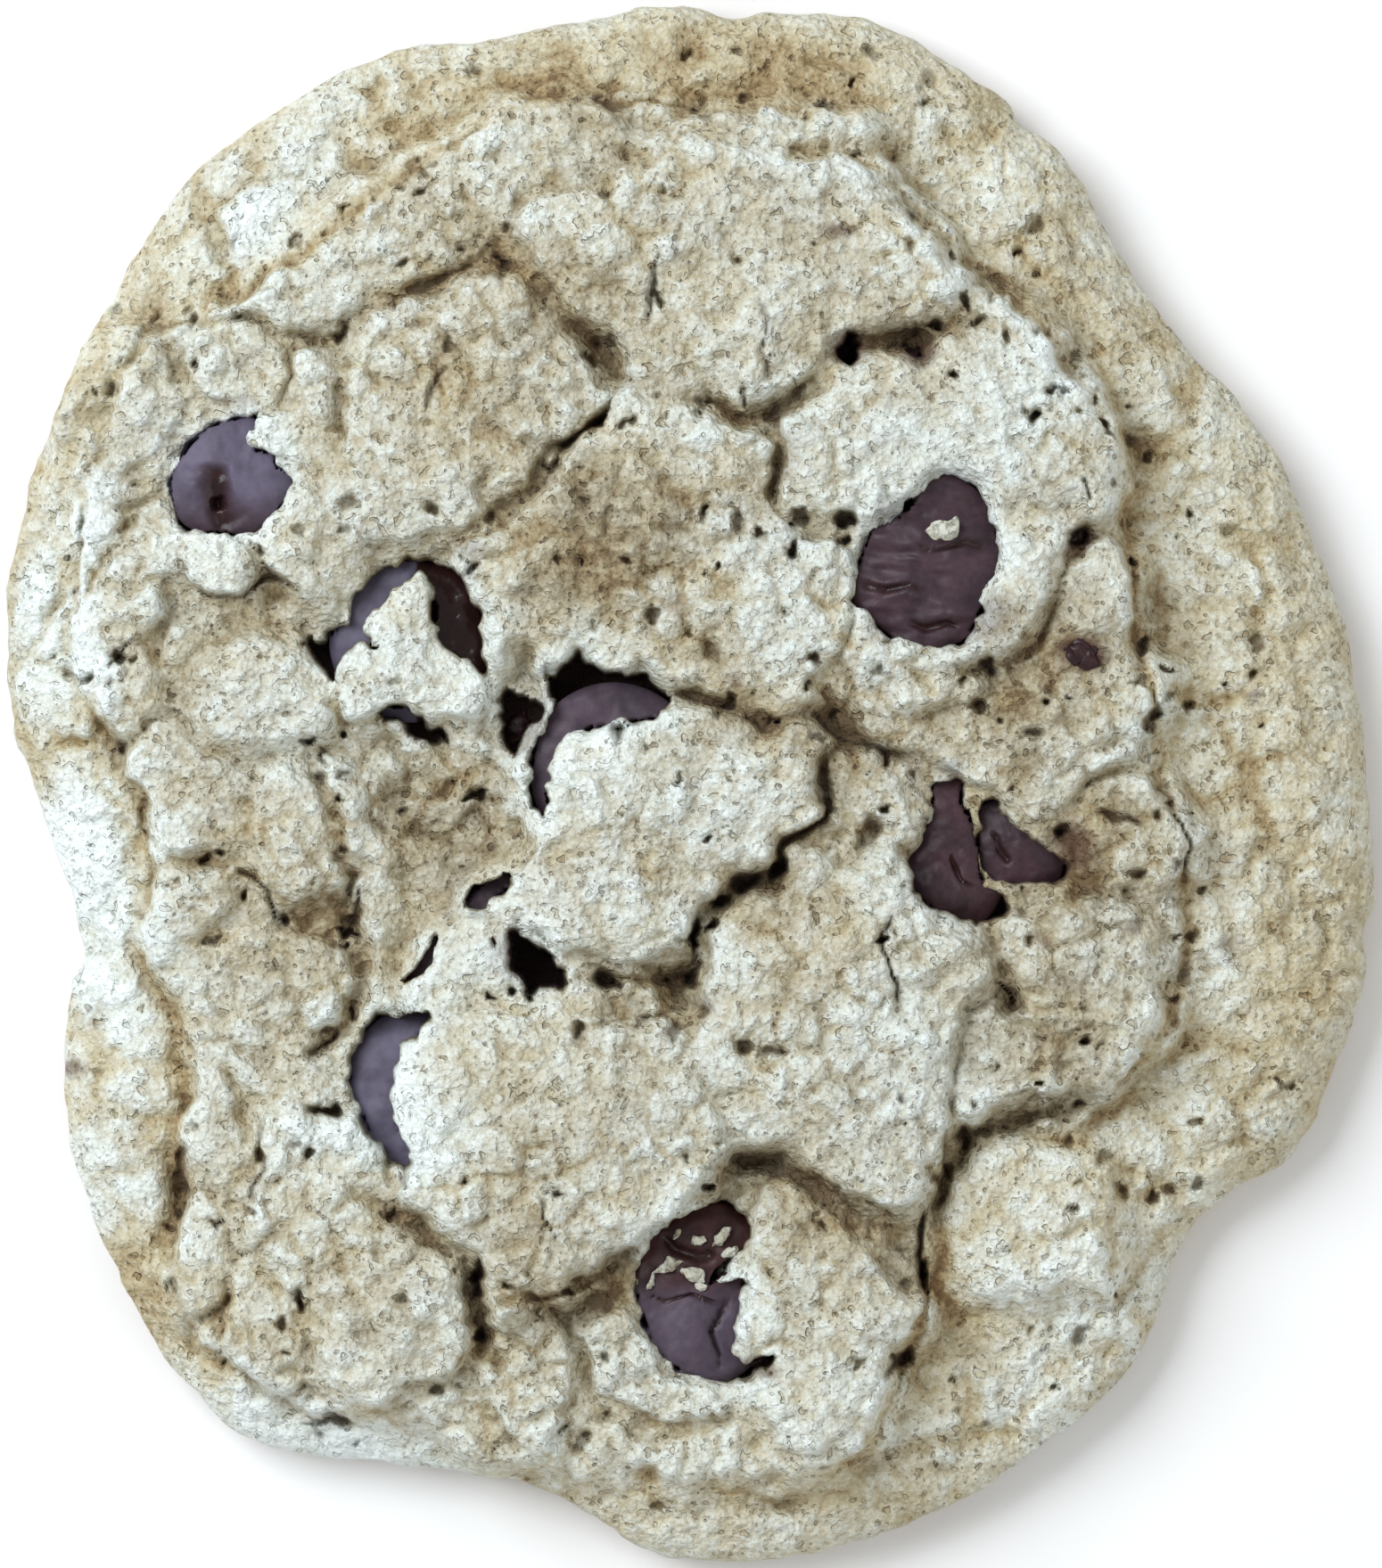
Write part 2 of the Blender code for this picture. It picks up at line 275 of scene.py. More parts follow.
# %% The blocks of the raised middle
# name: (shoulder height, crown, width of the broken edge, outline)
BLOCKS = {
    "second_band": (9.3, 0.5, 1.0, [
        (-30.5, 29.6), (-27.5, 31.6), (-24.5, 34.3), (-20.5, 37.6), (-17.0, 39.4), (-13.5, 42.0),
        (-11.0, 43.4), (-6.3, 43.9), (-3.5, 41.6), (-1.8, 40.9), (-4.5, 40.2), (-6.5, 39.0),
        (-9.3, 38.3), (-11.2, 37.0), (-11.6, 35.5), (-13.2, 33.4), (-15.0, 32.8), (-17.5, 31.9),
        (-19.4, 31.0), (-21.0, 28.9), (-22.5, 28.6), (-25.2, 29.0), (-25.9, 28.4), (-27.5, 29.8),
    ]),
    "west_shoulder": (8.8, 0.5, 1.2, [
        (-39.8, 24.5), (-38.0, 27.3), (-36.0, 28.8), (-34.0, 28.5), (-33.0, 26.5), (-32.0, 24.3),
        (-33.0, 22.0), (-34.5, 20.5), (-36.0, 19.8), (-38.0, 20.5), (-39.4, 22.2),
    ]),
    "west_shoulder_low": (8.4, 0.4, 0.9, [
        (-39.6, 19.5), (-38.4, 20.8), (-36.9, 19.6), (-36.3, 17.4), (-36.4, 15.4), (-37.8, 15.0),
        (-39.2, 15.4), (-39.8, 17.5),
    ]),
    "behind_chip": (9.0, 0.4, 0.8, [
        (-32.4, 27.6), (-31.0, 29.0), (-28.0, 29.6), (-26.2, 28.2), (-25.4, 26.2), (-26.0, 24.6),
        (-28.0, 24.2), (-30.0, 23.8), (-31.6, 24.8),
    ]),
    "beside_chip": (9.7, 0.4, 0.7, [
        (-25.2, 27.4), (-23.4, 27.8), (-22.4, 26.0), (-22.4, 23.4), (-22.8, 21.6), (-23.6, 20.0),
        (-24.8, 20.2), (-26.0, 20.8), (-26.9, 21.0), (-27.9, 21.6), (-28.3, 22.6), (-27.8, 23.4),
        (-26.2, 24.2), (-25.4, 25.6),
    ]),
    "north_west": (10.6, 0.9, 0.7, [
        (-20.9, 28.3), (-20.2, 29.4), (-18.7, 30.6), (-16.5, 31.3), (-14.0, 32.0), (-12.2, 32.1),
        (-10.3, 32.2), (-9.6, 30.4), (-8.3, 28.4), (-7.2, 27.3), (-6.2, 26.0), (-5.1, 24.6),
        (-5.8, 23.2), (-6.9, 22.0), (-8.0, 21.6), (-9.0, 21.9), (-9.8, 20.6), (-10.6, 18.9),
        (-12.3, 18.0), (-13.2, 16.7), (-15.1, 16.1), (-17.0, 15.5), (-19.0, 15.1), (-21.5, 15.7),
        (-22.6, 18.0), (-22.5, 20.4), (-21.8, 23.0), (-21.6, 25.6),
    ]),
    "north": (10.7, 0.9, 0.8, [
        (-0.3, 40.9), (2.0, 40.7), (4.8, 40.4), (7.2, 39.9), (10.0, 39.2), (12.0, 37.8), (14.7, 35.6),
        (16.5, 33.4), (17.0, 31.0), (15.2, 29.8), (12.4, 29.4), (10.8, 28.8), (9.0, 28.2), (8.2, 26.8),
        (6.6, 25.4), (5.0, 24.2), (3.2, 23.5), (2.0, 24.8), (0.2, 25.3), (-1.8, 25.6), (-3.2, 26.6),
        (-4.0, 28.2), (-5.2, 29.3), (-7.2, 30.0), (-8.3, 31.4), (-9.9, 33.0), (-10.2, 34.4),
        (-11.2, 36.0), (-10.2, 37.3), (-8.0, 38.2), (-5.4, 38.0), (-4.6, 39.3), (-2.5, 39.6),
    ]),
    "north_shelf": (9.3, 0.5, 0.9, [
        (0.3, 40.9), (1.2, 42.0), (3.0, 42.4), (6.0, 42.2), (8.5, 42.4), (10.4, 42.0), (11.2, 41.2),
        (10.2, 40.2), (7.0, 40.4), (3.0, 40.8),
    ]),
    "middle_north": (11.1, 0.8, 0.6, [
        (-13.6, 15.9), (-12.2, 17.1), (-10.4, 18.6), (-9.5, 20.4), (-8.6, 21.3), (-7.2, 21.6),
        (-6.2, 22.8), (-5.0, 23.8), (-3.4, 24.5), (-1.2, 24.6), (0.4, 24.4), (1.6, 23.5), (3.2, 22.7),
        (4.7, 22.3), (5.1, 21.0), (5.3, 19.6), (5.0, 18.2), (5.4, 16.9), (7.4, 15.9), (9.2, 15.4),
        (10.2, 13.6), (10.0, 11.4), (9.7, 9.4), (8.8, 8.0), (7.8, 6.8), (7.4, 5.4), (5.8, 4.7),
        (4.2, 5.0), (2.0, 5.6), (0.0, 6.1), (-1.6, 6.4), (-3.0, 7.3), (-5.0, 7.4), (-6.4, 8.0),
        (-7.3, 8.5), (-8.2, 7.6), (-9.3, 7.4), (-10.2, 8.8), (-11.6, 8.8), (-12.7, 7.4), (-13.1, 9.4),
        (-13.5, 11.4), (-13.9, 14.0),
    ]),
    "north_east": (11.0, 0.9, 0.7, [
        (5.2, 22.9), (7.0, 24.3), (8.7, 25.1), (9.2, 26.4), (10.7, 27.5), (12.2, 27.6), (14.2, 26.6),
        (15.4, 27.4), (16.2, 28.8), (18.0, 30.2), (19.8, 30.3), (21.4, 29.6), (22.8, 28.4),
        (23.4, 27.0), (24.8, 25.4), (25.3, 23.9), (26.4, 22.4), (27.1, 20.4), (27.2, 18.2),
        (26.2, 17.0), (24.9, 16.8), (24.0, 15.4), (23.2, 14.0), (21.6, 13.2), (20.0, 14.0),
        (19.9, 16.4), (19.2, 18.5), (17.8, 19.8), (16.0, 20.0), (14.6, 18.8), (13.4, 17.4),
        (11.6, 16.8), (9.6, 17.2), (7.8, 17.6), (6.4, 17.4), (5.7, 18.6), (5.8, 20.6),
    ]),
    "ridge": (11.0, 0.9, 1.2, [
        (19.7, 16.5), (21.4, 16.4), (22.8, 14.9), (23.0, 12.9), (22.6, 11.1), (21.6, 9.3), (20.0, 8.0),
        (17.9, 7.4), (15.8, 7.0), (12.8, 6.8), (10.2, 7.0), (9.0, 8.0), (9.7, 9.6), (10.4, 10.8),
        (12.0, 9.9), (13.8, 8.9), (16.0, 8.6), (17.6, 9.4), (18.4, 11.0), (19.5, 12.6), (19.8, 14.4),
    ]),
    "ledge": (10.3, 0.3, 0.8, [
        (8.4, 8.2), (10.0, 8.6), (13.0, 7.8), (16.6, 7.6), (18.4, 6.6), (18.0, 5.3), (16.0, 4.9),
        (13.4, 4.9), (11.0, 5.3), (9.0, 5.9), (8.0, 6.8),
    ]),
    "east_crumb": (9.6, 0.5, 0.7, [
        (10.2, 4.6), (12.6, 4.9), (16.0, 4.9), (18.4, 5.7), (19.8, 7.6), (21.8, 8.8), (23.1, 10.8),
        (23.7, 13.3), (24.8, 15.0), (26.2, 16.0), (27.2, 15.6), (28.0, 13.5), (28.1, 11.0), (28.6, 8.6),
        (30.0, 6.6), (29.5, 4.0), (28.4, 1.6), (26.6, 1.0), (25.0, 0.0), (24.0, -1.4), (22.4, -2.6),
        (21.2, -2.1), (20.2, -1.2), (19.0, -0.2), (17.6, 0.5), (15.5, 1.0), (14.1, 1.9), (12.2, 2.9),
    ]),
    "east_lobe": (9.6, 0.6, 0.8, [
        (25.9, 0.2), (28.6, 1.0), (29.7, 0.2), (30.2, -1.2), (31.6, -2.6), (31.8, -4.6), (31.2, -6.4),
        (29.8, -6.8), (28.4, -5.6), (26.6, -5.4), (25.6, -4.1), (25.0, -2.6), (25.0, -1.0),
    ]),
    "pitted": (9.6, 0.3, 0.6, [
        (9.0, 1.4), (10.0, 2.3), (11.8, 2.0), (13.0, 0.8), (13.9, -0.6), (14.1, -2.2), (13.6, -3.8),
        (13.0, -5.2), (11.6, -5.5), (9.8, -5.2), (8.2, -4.4), (7.4, -3.4), (8.4, -2.3), (9.1, -0.9),
    ]),
    "middle": (11.4, 1.0, 0.6, [
        (-9.3, -1.6), (-9.0, 0.4), (-8.9, 1.8), (-8.0, 2.9), (-6.6, 3.4), (-5.6, 4.1), (-4.2, 4.1),
        (-2.6, 4.4), (-1.4, 4.9), (0.6, 4.6), (2.2, 4.1), (3.8, 3.4), (4.9, 3.1), (6.0, 3.7),
        (7.2, 3.3), (8.0, 2.4), (8.1, 1.2), (8.6, -0.4), (8.2, -1.6), (7.2, -2.4), (6.2, -3.3),
        (5.4, -4.4), (3.8, -4.9), (2.4, -5.5), (1.7, -6.6), (0.7, -7.8), (0.0, -9.4), (-1.0, -10.3),
        (-3.5, -11.2), (-6.0, -10.9), (-8.3, -10.7), (-9.8, -9.3), (-12.0, -9.2), (-14.2, -8.2),
        (-12.9, -6.9), (-11.2, -5.8), (-9.9, -4.6), (-9.4, -3.2),
    ]),
    "flap": (10.6, 0.5, 0.5, [
        (-14.0, -7.9), (-12.4, -7.6), (-10.4, -8.8), (-8.4, -10.4), (-6.0, -10.8), (-3.6, -11.0),
        (-2.2, -12.4), (-2.0, -14.4), (-4.0, -15.4), (-8.0, -15.4), (-12.0, -15.2), (-15.0, -15.0),
        (-16.6, -14.4), (-17.6, -13.4), (-17.2, -12.0), (-16.2, -10.4), (-15.8, -9.2),
    ]),
    "south": (11.6, 1.0, 0.7, [
        (-17.0, -15.1), (-15.6, -14.4), (-13.0, -14.2), (-9.0, -14.6), (-5.0, -14.4), (-2.2, -14.8),
        (-0.8, -16.4), (0.4, -18.6), (1.4, -20.6), (1.9, -22.2), (1.4, -24.2), (0.2, -26.2),
        (-1.3, -27.3), (-2.5, -28.3), (-3.4, -29.5), (-5.5, -30.4), (-6.9, -31.2), (-8.0, -32.2),
        (-10.0, -32.6), (-10.8, -33.8), (-12.2, -34.0), (-12.9, -32.4), (-13.3, -29.9), (-14.4, -28.4),
        (-16.4, -27.2), (-18.0, -26.2), (-17.2, -24.9), (-18.0, -23.2), (-18.7, -22.3),
        (-18.9, -20.5), (-18.8, -18.5), (-18.3, -17.2), (-17.6, -16.0),
    ]),
    "south_east": (11.3, 0.8, 0.6, [
        (2.0, -8.2), (1.4, -10.4), (0.8, -12.4), (1.0, -14.4), (0.0, -16.2), (-0.4, -17.8), (1.0, -19.5),
        (2.2, -21.0), (3.4, -22.2), (6.0, -22.8), (7.2, -24.0), (9.0, -25.2), (11.3, -26.6),
        (13.0, -27.0), (14.4, -26.2), (15.2, -24.0), (16.2, -22.4), (16.2, -20.0), (16.4, -17.6),
        (17.2, -15.4), (17.8, -13.7), (19.0, -12.6), (18.8, -11.1), (17.6, -10.0), (16.4, -9.2),
        (15.0, -8.2), (14.0, -7.3), (13.3, -6.0), (11.6, -5.7), (9.8, -5.5), (8.5, -4.9), (7.3, -4.3),
        (6.9, -5.4), (6.2, -6.8), (4.6, -7.2), (3.0, -7.4),
    ]),
    "east": (10.1, 0.7, 0.8, [
        (19.4, -9.6), (20.6, -8.6), (22.6, -8.6), (24.5, -7.9), (26.6, -8.0), (28.2, -9.2),
        (29.4, -11.0), (29.3, -12.6), (30.6, -14.4), (30.0, -16.0), (28.4, -17.0), (27.0, -18.3),
        (25.4, -19.3), (23.4, -19.7), (20.8, -20.0), (19.2, -21.0), (17.4, -21.4), (16.9, -19.5),
        (17.3, -17.5), (17.4, -15.8), (18.0, -14.4), (19.4, -14.0), (20.6, -14.6), (21.4, -13.6),
        (20.4, -12.2), (19.7, -11.0),
    ]),
    "west_knob": (9.3, 0.5, 1.0, [
        (-38.4, 5.6), (-38.0, 8.2), (-37.8, 10.0), (-36.8, 11.9), (-35.2, 12.5), (-34.0, 12.4),
        (-33.7, 10.6), (-34.6, 9.4), (-34.0, 7.4), (-33.3, 5.4), (-34.3, 4.1), (-35.8, 3.2),
        (-37.2, 3.2), (-38.2, 4.2),
    ]),
    "dome": (10.1, 0.9, 1.6, [
        (-31.3, 5.6), (-30.7, 8.0), (-29.6, 9.4), (-28.0, 10.0), (-26.5, 9.6), (-25.2, 8.4),
        (-24.3, 7.1), (-22.9, 6.6), (-22.3, 5.0), (-23.0, 3.4), (-25.4, 2.6), (-28.0, 2.2),
        (-30.3, 3.0), (-31.2, 4.2),
    ]),
    "west_field": (9.3, 0.4, 1.0, [
        (-36.2, 2.4), (-34.6, 3.6), (-32.6, 4.2), (-31.4, 3.0), (-29.0, 1.6), (-27.4, 0.6),
        (-27.8, -1.6), (-28.4, -3.6), (-29.8, -4.2), (-31.6, -4.0), (-33.2, -4.2), (-33.9, -2.8),
        (-34.6, -1.2), (-36.0, 0.6),
    ]),
    "west_between": (8.6, 0.3, 0.8, [
        (-33.4, 9.8), (-31.6, 10.6), (-29.4, 11.4), (-26.0, 11.8), (-22.8, 12.0), (-22.4, 10.6),
        (-25.6, 10.2), (-28.0, 10.5), (-30.2, 9.6), (-31.8, 7.6), (-33.4, 7.8),
    ]),
    "west_pale": (9.9, 0.7, 1.1, [
        (-27.4, 0.4), (-25.5, 1.8), (-23.0, 1.6), (-21.4, 0.2), (-21.1, -2.2), (-21.4, -4.6),
        (-22.4, -6.0), (-25.2, -6.7), (-26.8, -6.0), (-27.9, -4.0), (-27.8, -1.4),
    ]),
    "west_low": (9.0, 0.5, 0.9, [
        (-33.3, -5.0), (-31.4, -5.2), (-28.8, -5.3), (-28.6, -7.0), (-29.7, -8.4), (-31.0, -9.5),
        (-33.4, -10.3), (-34.7, -9.2), (-34.4, -7.0),
    ]),
    "west_slope": (8.9, 0.6, 1.3, [
        (-21.3, -3.0), (-19.4, -3.4), (-18.8, -6.0), (-18.9, -9.4), (-19.6, -11.8), (-18.4, -14.0),
        (-20.1, -14.8), (-20.9, -13.5), (-20.6, -11.3), (-20.3, -9.6), (-21.0, -8.6), (-21.4, -6.0),
    ]),
    "porous_low": (8.5, 0.4, 1.0, [
        (-28.6, -8.8), (-26.0, -9.4), (-22.6, -10.2), (-21.4, -12.4), (-21.9, -15.2), (-23.2, -17.0),
        (-22.6, -19.6), (-24.6, -20.2), (-26.6, -18.4), (-29.4, -16.4), (-30.8, -13.6), (-30.2, -10.8),
    ]),
    "lobe_left": (9.4, 0.5, 0.8, [
        (-35.0, 14.0), (-34.6, 15.4), (-33.4, 15.9), (-32.0, 15.4), (-31.9, 13.8), (-32.6, 12.9),
        (-34.2, 12.9),
    ]),
    "lobe_middle": (10.2, 0.8, 0.9, [
        (-31.9, 14.6), (-31.6, 15.7), (-30.6, 16.1), (-29.0, 15.9), (-27.9, 15.1), (-27.6, 13.6),
        (-28.2, 12.1), (-29.8, 11.8), (-31.0, 12.2), (-31.9, 13.2),
    ]),
    "lobe_right": (10.0, 0.7, 0.8, [
        (-27.4, 14.0), (-26.6, 13.0), (-24.6, 12.5), (-22.6, 12.5), (-21.7, 14.0), (-22.4, 15.8),
        (-23.4, 18.0), (-24.4, 19.6), (-25.6, 18.9), (-26.6, 17.3), (-27.8, 15.6),
    ]),
    "tongue": (10.2, 0.9, 0.8, [
        (-22.5, 6.2), (-22.2, 7.6), (-21.0, 9.0), (-20.5, 10.4), (-19.4, 11.7), (-18.2, 12.8),
        (-17.3, 13.6), (-16.5, 12.6), (-16.2, 10.8), (-16.1, 9.0), (-15.2, 8.1), (-13.9, 7.4),
        (-13.0, 6.4), (-13.0, 5.0), (-14.0, 4.0), (-16.2, 4.2), (-18.4, 4.2), (-21.0, 4.0),
        (-22.3, 4.8),
    ]),
    "thin_shell": (10.0, 0.0, 0.3, [
        (-11.0, 0.6), (-10.7, 2.6), (-9.8, 4.4), (-8.6, 5.6), (-8.2, 5.2), (-9.2, 4.0), (-9.8, 2.4),
        (-10.0, 0.8), (-9.8, -0.6), (-10.4, -0.4),
    ]),
    "south_west": (9.6, 0.6, 0.7, [
        (-27.5, -27.3), (-27.1, -25.5), (-26.9, -23.5), (-27.0, -21.6), (-25.6, -20.8), (-23.8, -21.6),
        (-22.0, -22.4), (-21.1, -24.0), (-20.2, -25.5), (-19.2, -27.0), (-18.4, -28.2), (-20.4, -29.6),
        (-22.5, -30.8), (-24.5, -31.5), (-26.0, -31.0), (-27.1, -29.4),
    ]),
    "south_west_low": (9.9, 0.7, 0.8, [
        (-23.0, -34.0), (-22.6, -32.5), (-21.4, -30.9), (-19.6, -29.9), (-18.2, -28.9), (-16.0, -28.4),
        (-14.4, -29.4), (-14.2, -31.0), (-14.2, -33.0), (-14.1, -35.2), (-14.5, -37.0), (-16.6, -38.2),
        (-18.6, -39.0), (-20.0, -39.8), (-21.6, -39.0), (-22.6, -37.2), (-23.2, -35.8),
    ]),
    "corner_low": (8.5, 0.5, 1.0, [
        (-33.3, -31.0), (-32.6, -29.3), (-31.6, -28.4), (-30.0, -28.4), (-29.7, -30.2), (-29.5, -32.6),
        (-30.3, -34.2), (-31.6, -34.2), (-32.8, -33.0),
    ]),
    "south_strip": (8.6, 0.4, 1.0, [
        (-32.1, -22.0), (-32.0, -19.3), (-31.2, -17.9), (-29.6, -18.4), (-28.9, -20.4), (-28.7, -23.0),
        (-29.1, -25.0), (-30.4, -25.4), (-31.8, -25.0), (-32.2, -23.5),
    ]),
    "corner_inner": (8.6, 0.4, 1.0, [
        (-29.2, -30.4), (-27.8, -31.2), (-26.2, -32.2), (-25.2, -33.2), (-24.6, -34.8), (-24.4, -36.8),
        (-24.8, -38.4), (-26.4, -38.8), (-28.4, -37.9), (-29.6, -36.5), (-29.9, -34.8), (-29.2, -32.6),
    ]),
    "bright_strip": (8.8, 0.3, 1.2, [
        (-31.0, -11.4), (-29.2, -12.0), (-28.6, -14.0), (-29.0, -16.6), (-27.2, -18.2), (-25.2, -19.6),
        (-26.0, -20.8), (-28.0, -20.0), (-29.8, -17.8), (-30.8, -15.4), (-31.8, -13.2),
    ]),
    "chip_block": (10.3, 0.8, 0.7, [
        (4.2, -26.2), (5.6, -25.7), (7.2, -25.9), (8.6, -27.0), (10.2, -28.2), (11.5, -29.6),
        (12.8, -31.2), (13.9, -32.5), (14.8, -33.8), (14.2, -35.2), (13.0, -36.2), (12.8, -37.8),
        (12.2, -39.8), (11.2, -41.8), (9.6, -43.0), (7.6, -43.9), (6.2, -42.8), (5.2, -41.2),
        (4.0, -39.8), (3.4, -38.8), (4.6, -38.2), (5.9, -37.3), (5.2, -36.3), (3.6, -36.6),
        (2.9, -35.8), (3.0, -34.5), (3.5, -33.0), (3.2, -31.8), (4.0, -30.6), (4.1, -29.0),
        (3.8, -27.6),
    ]),
    "south_lump": (9.3, 0.6, 0.8, [
        (-13.0, -36.0), (-12.3, -34.9), (-10.8, -34.2), (-9.0, -34.1), (-7.9, -35.0), (-7.5, -36.8),
        (-7.7, -38.5), (-8.0, -40.2), (-8.5, -41.8), (-9.8, -42.9), (-11.0, -42.0), (-11.7, -40.4),
        (-12.6, -39.2), (-13.4, -38.0),
    ]),
    "south_small": (9.2, 0.6, 0.8, [
        (-6.4, -34.6), (-5.0, -33.4), (-3.8, -33.6), (-3.0, -35.4), (-1.8, -37.2), (0.2, -38.4),
        (2.6, -38.8), (2.8, -40.0), (0.8, -40.6), (-1.5, -40.7), (-3.2, -40.0), (-4.7, -39.3),
        (-6.0, -38.6), (-6.6, -36.8),
    ]),
    "south_foot": (8.4, 0.4, 1.0, [
        (-5.0, -40.4), (-3.0, -41.5), (0.0, -41.4), (2.8, -40.8), (4.6, -41.8), (5.6, -43.2),
        (4.6, -44.5), (2.0, -44.8), (-1.0, -44.5), (-3.6, -43.9), (-7.0, -43.3), (-7.6, -41.6),
    ]),
    "south_east_rim": (8.3, 0.7, 1.6, [
        (16.7, -24.5), (17.6, -23.2), (19.5, -22.7), (22.0, -22.8), (24.5, -23.5), (26.2, -25.0),
        (26.7, -27.3), (27.2, -29.5), (26.7, -31.6), (25.2, -32.3), (23.2, -32.3), (21.0, -32.9),
        (18.5, -32.7), (17.0, -31.5), (16.6, -29.0), (16.4, -26.5),
    ]),
}
print(len(BLOCKS), "blocks and lumps")

# %% [markdown]
# Some features cut into the blocks: thin cracks, holes torn by steam, and the openings through which
# the chips show. The soft creases between the pale islands of the rim are wide and shallow instead.

# %% Cracks, creases and holes
# (width, depth, line)
CRACKS = [
    (0.4, 1.2, [(-9.0, 21.8), (-7.6, 21.8), (-6.4, 22.6), (-5.6, 23.4), (-4.8, 24.4)]),
    (0.4, 0.8, [(-1.6, 6.3), (0.4, 5.2), (2.2, 4.8), (3.8, 4.2), (5.0, 3.7)]),
    (0.4, 0.8, [(7.2, 4.4), (8.4, 3.5), (9.8, 2.9), (11.4, 2.4), (13.0, 2.0), (14.2, 1.2)]),
    (0.5, 1.5, [(8.2, 2.2), (8.5, 0.4), (8.8, -1.4), (7.4, -2.5), (6.2, -3.6), (5.8, -5.0)]),
    (0.4, 1.3, [(0.4, -8.0), (0.2, -9.6), (0.5, -11.0), (-0.1, -12.6)]),
    (0.3, 0.9, [(12.8, -8.4), (12.2, -9.8), (12.6, -11.2), (13.0, -12.8), (13.2, -14.4)]),
    (0.3, 0.9, [(25.8, -1.9), (27.0, -2.3), (27.8, -2.3), (28.9, -2.7)]),
    (0.3, 1.0, [(30.6, -1.8), (31.6, -2.6), (32.0, -4.0), (31.6, -5.6)]),
    (0.4, 1.0, [(-5.4, 4.0), (-4.9, 3.0), (-4.8, 2.2)]),
    (0.3, 0.9, [(19.4, -12.4), (20.4, -13.2), (21.0, -14.4)]),
    (0.4, 1.2, [(16.6, -22.0), (16.2, -23.8), (16.6, -25.2), (15.9, -27.0)]),
    (0.5, 1.4, [(14.8, -26.8), (14.6, -28.4), (14.4, -30.0), (15.0, -31.6), (15.4, -33.2)]),
    (0.4, 1.2, [(18.0, -22.0), (17.2, -23.4)]),
    (0.3, 0.8, [(-9.4, -26.2), (-9.2, -27.6), (-8.8, -29.2)]),
    (0.3, 0.9, [(-25.0, -17.6), (-23.6, -16.8), (-22.6, -15.6)]),
    (0.3, 0.9, [(-28.6, -5.2), (-28.0, -6.2), (-27.0, -6.8), (-26.6, -8.0), (-26.0, -9.0)]),
    (0.3, 0.7, [(-35.0, 9.6), (-36.4, 8.2), (-37.2, 7.6)]),
    (0.3, 0.8, [(-31.8, 12.6), (-30.4, 11.8), (-28.6, 11.9), (-27.6, 13.0), (-25.8, 12.7), (-24.2, 12.4)]),
    (0.3, 0.8, [(-27.8, 15.8), (-27.4, 14.6), (-26.8, 13.0)]),
    (0.3, 0.7, [(24.6, 19.3), (25.2, 18.7), (25.6, 18.0)]),
    (0.3, 0.6, [(-2.0, 34.4), (-2.4, 32.6), (-2.2, 31.0), (-2.6, 29.8)]),
    (0.3, 0.5, [(4.4, 31.4), (4.8, 29.6), (4.2, 27.6), (4.8, 25.6)]),
    (0.3, 0.6, [(-27.4, -21.6), (-27.6, -23.4), (-27.2, -25.0), (-28.0, -27.2)]),
    (0.3, 0.6, [(-15.2, 26.9), (-16.6, 25.4), (-17.0, 24.0)]),
    (0.3, 0.9, [(-21.2, -9.6), (-21.0, -8.0), (-20.9, -6.4)]),
]
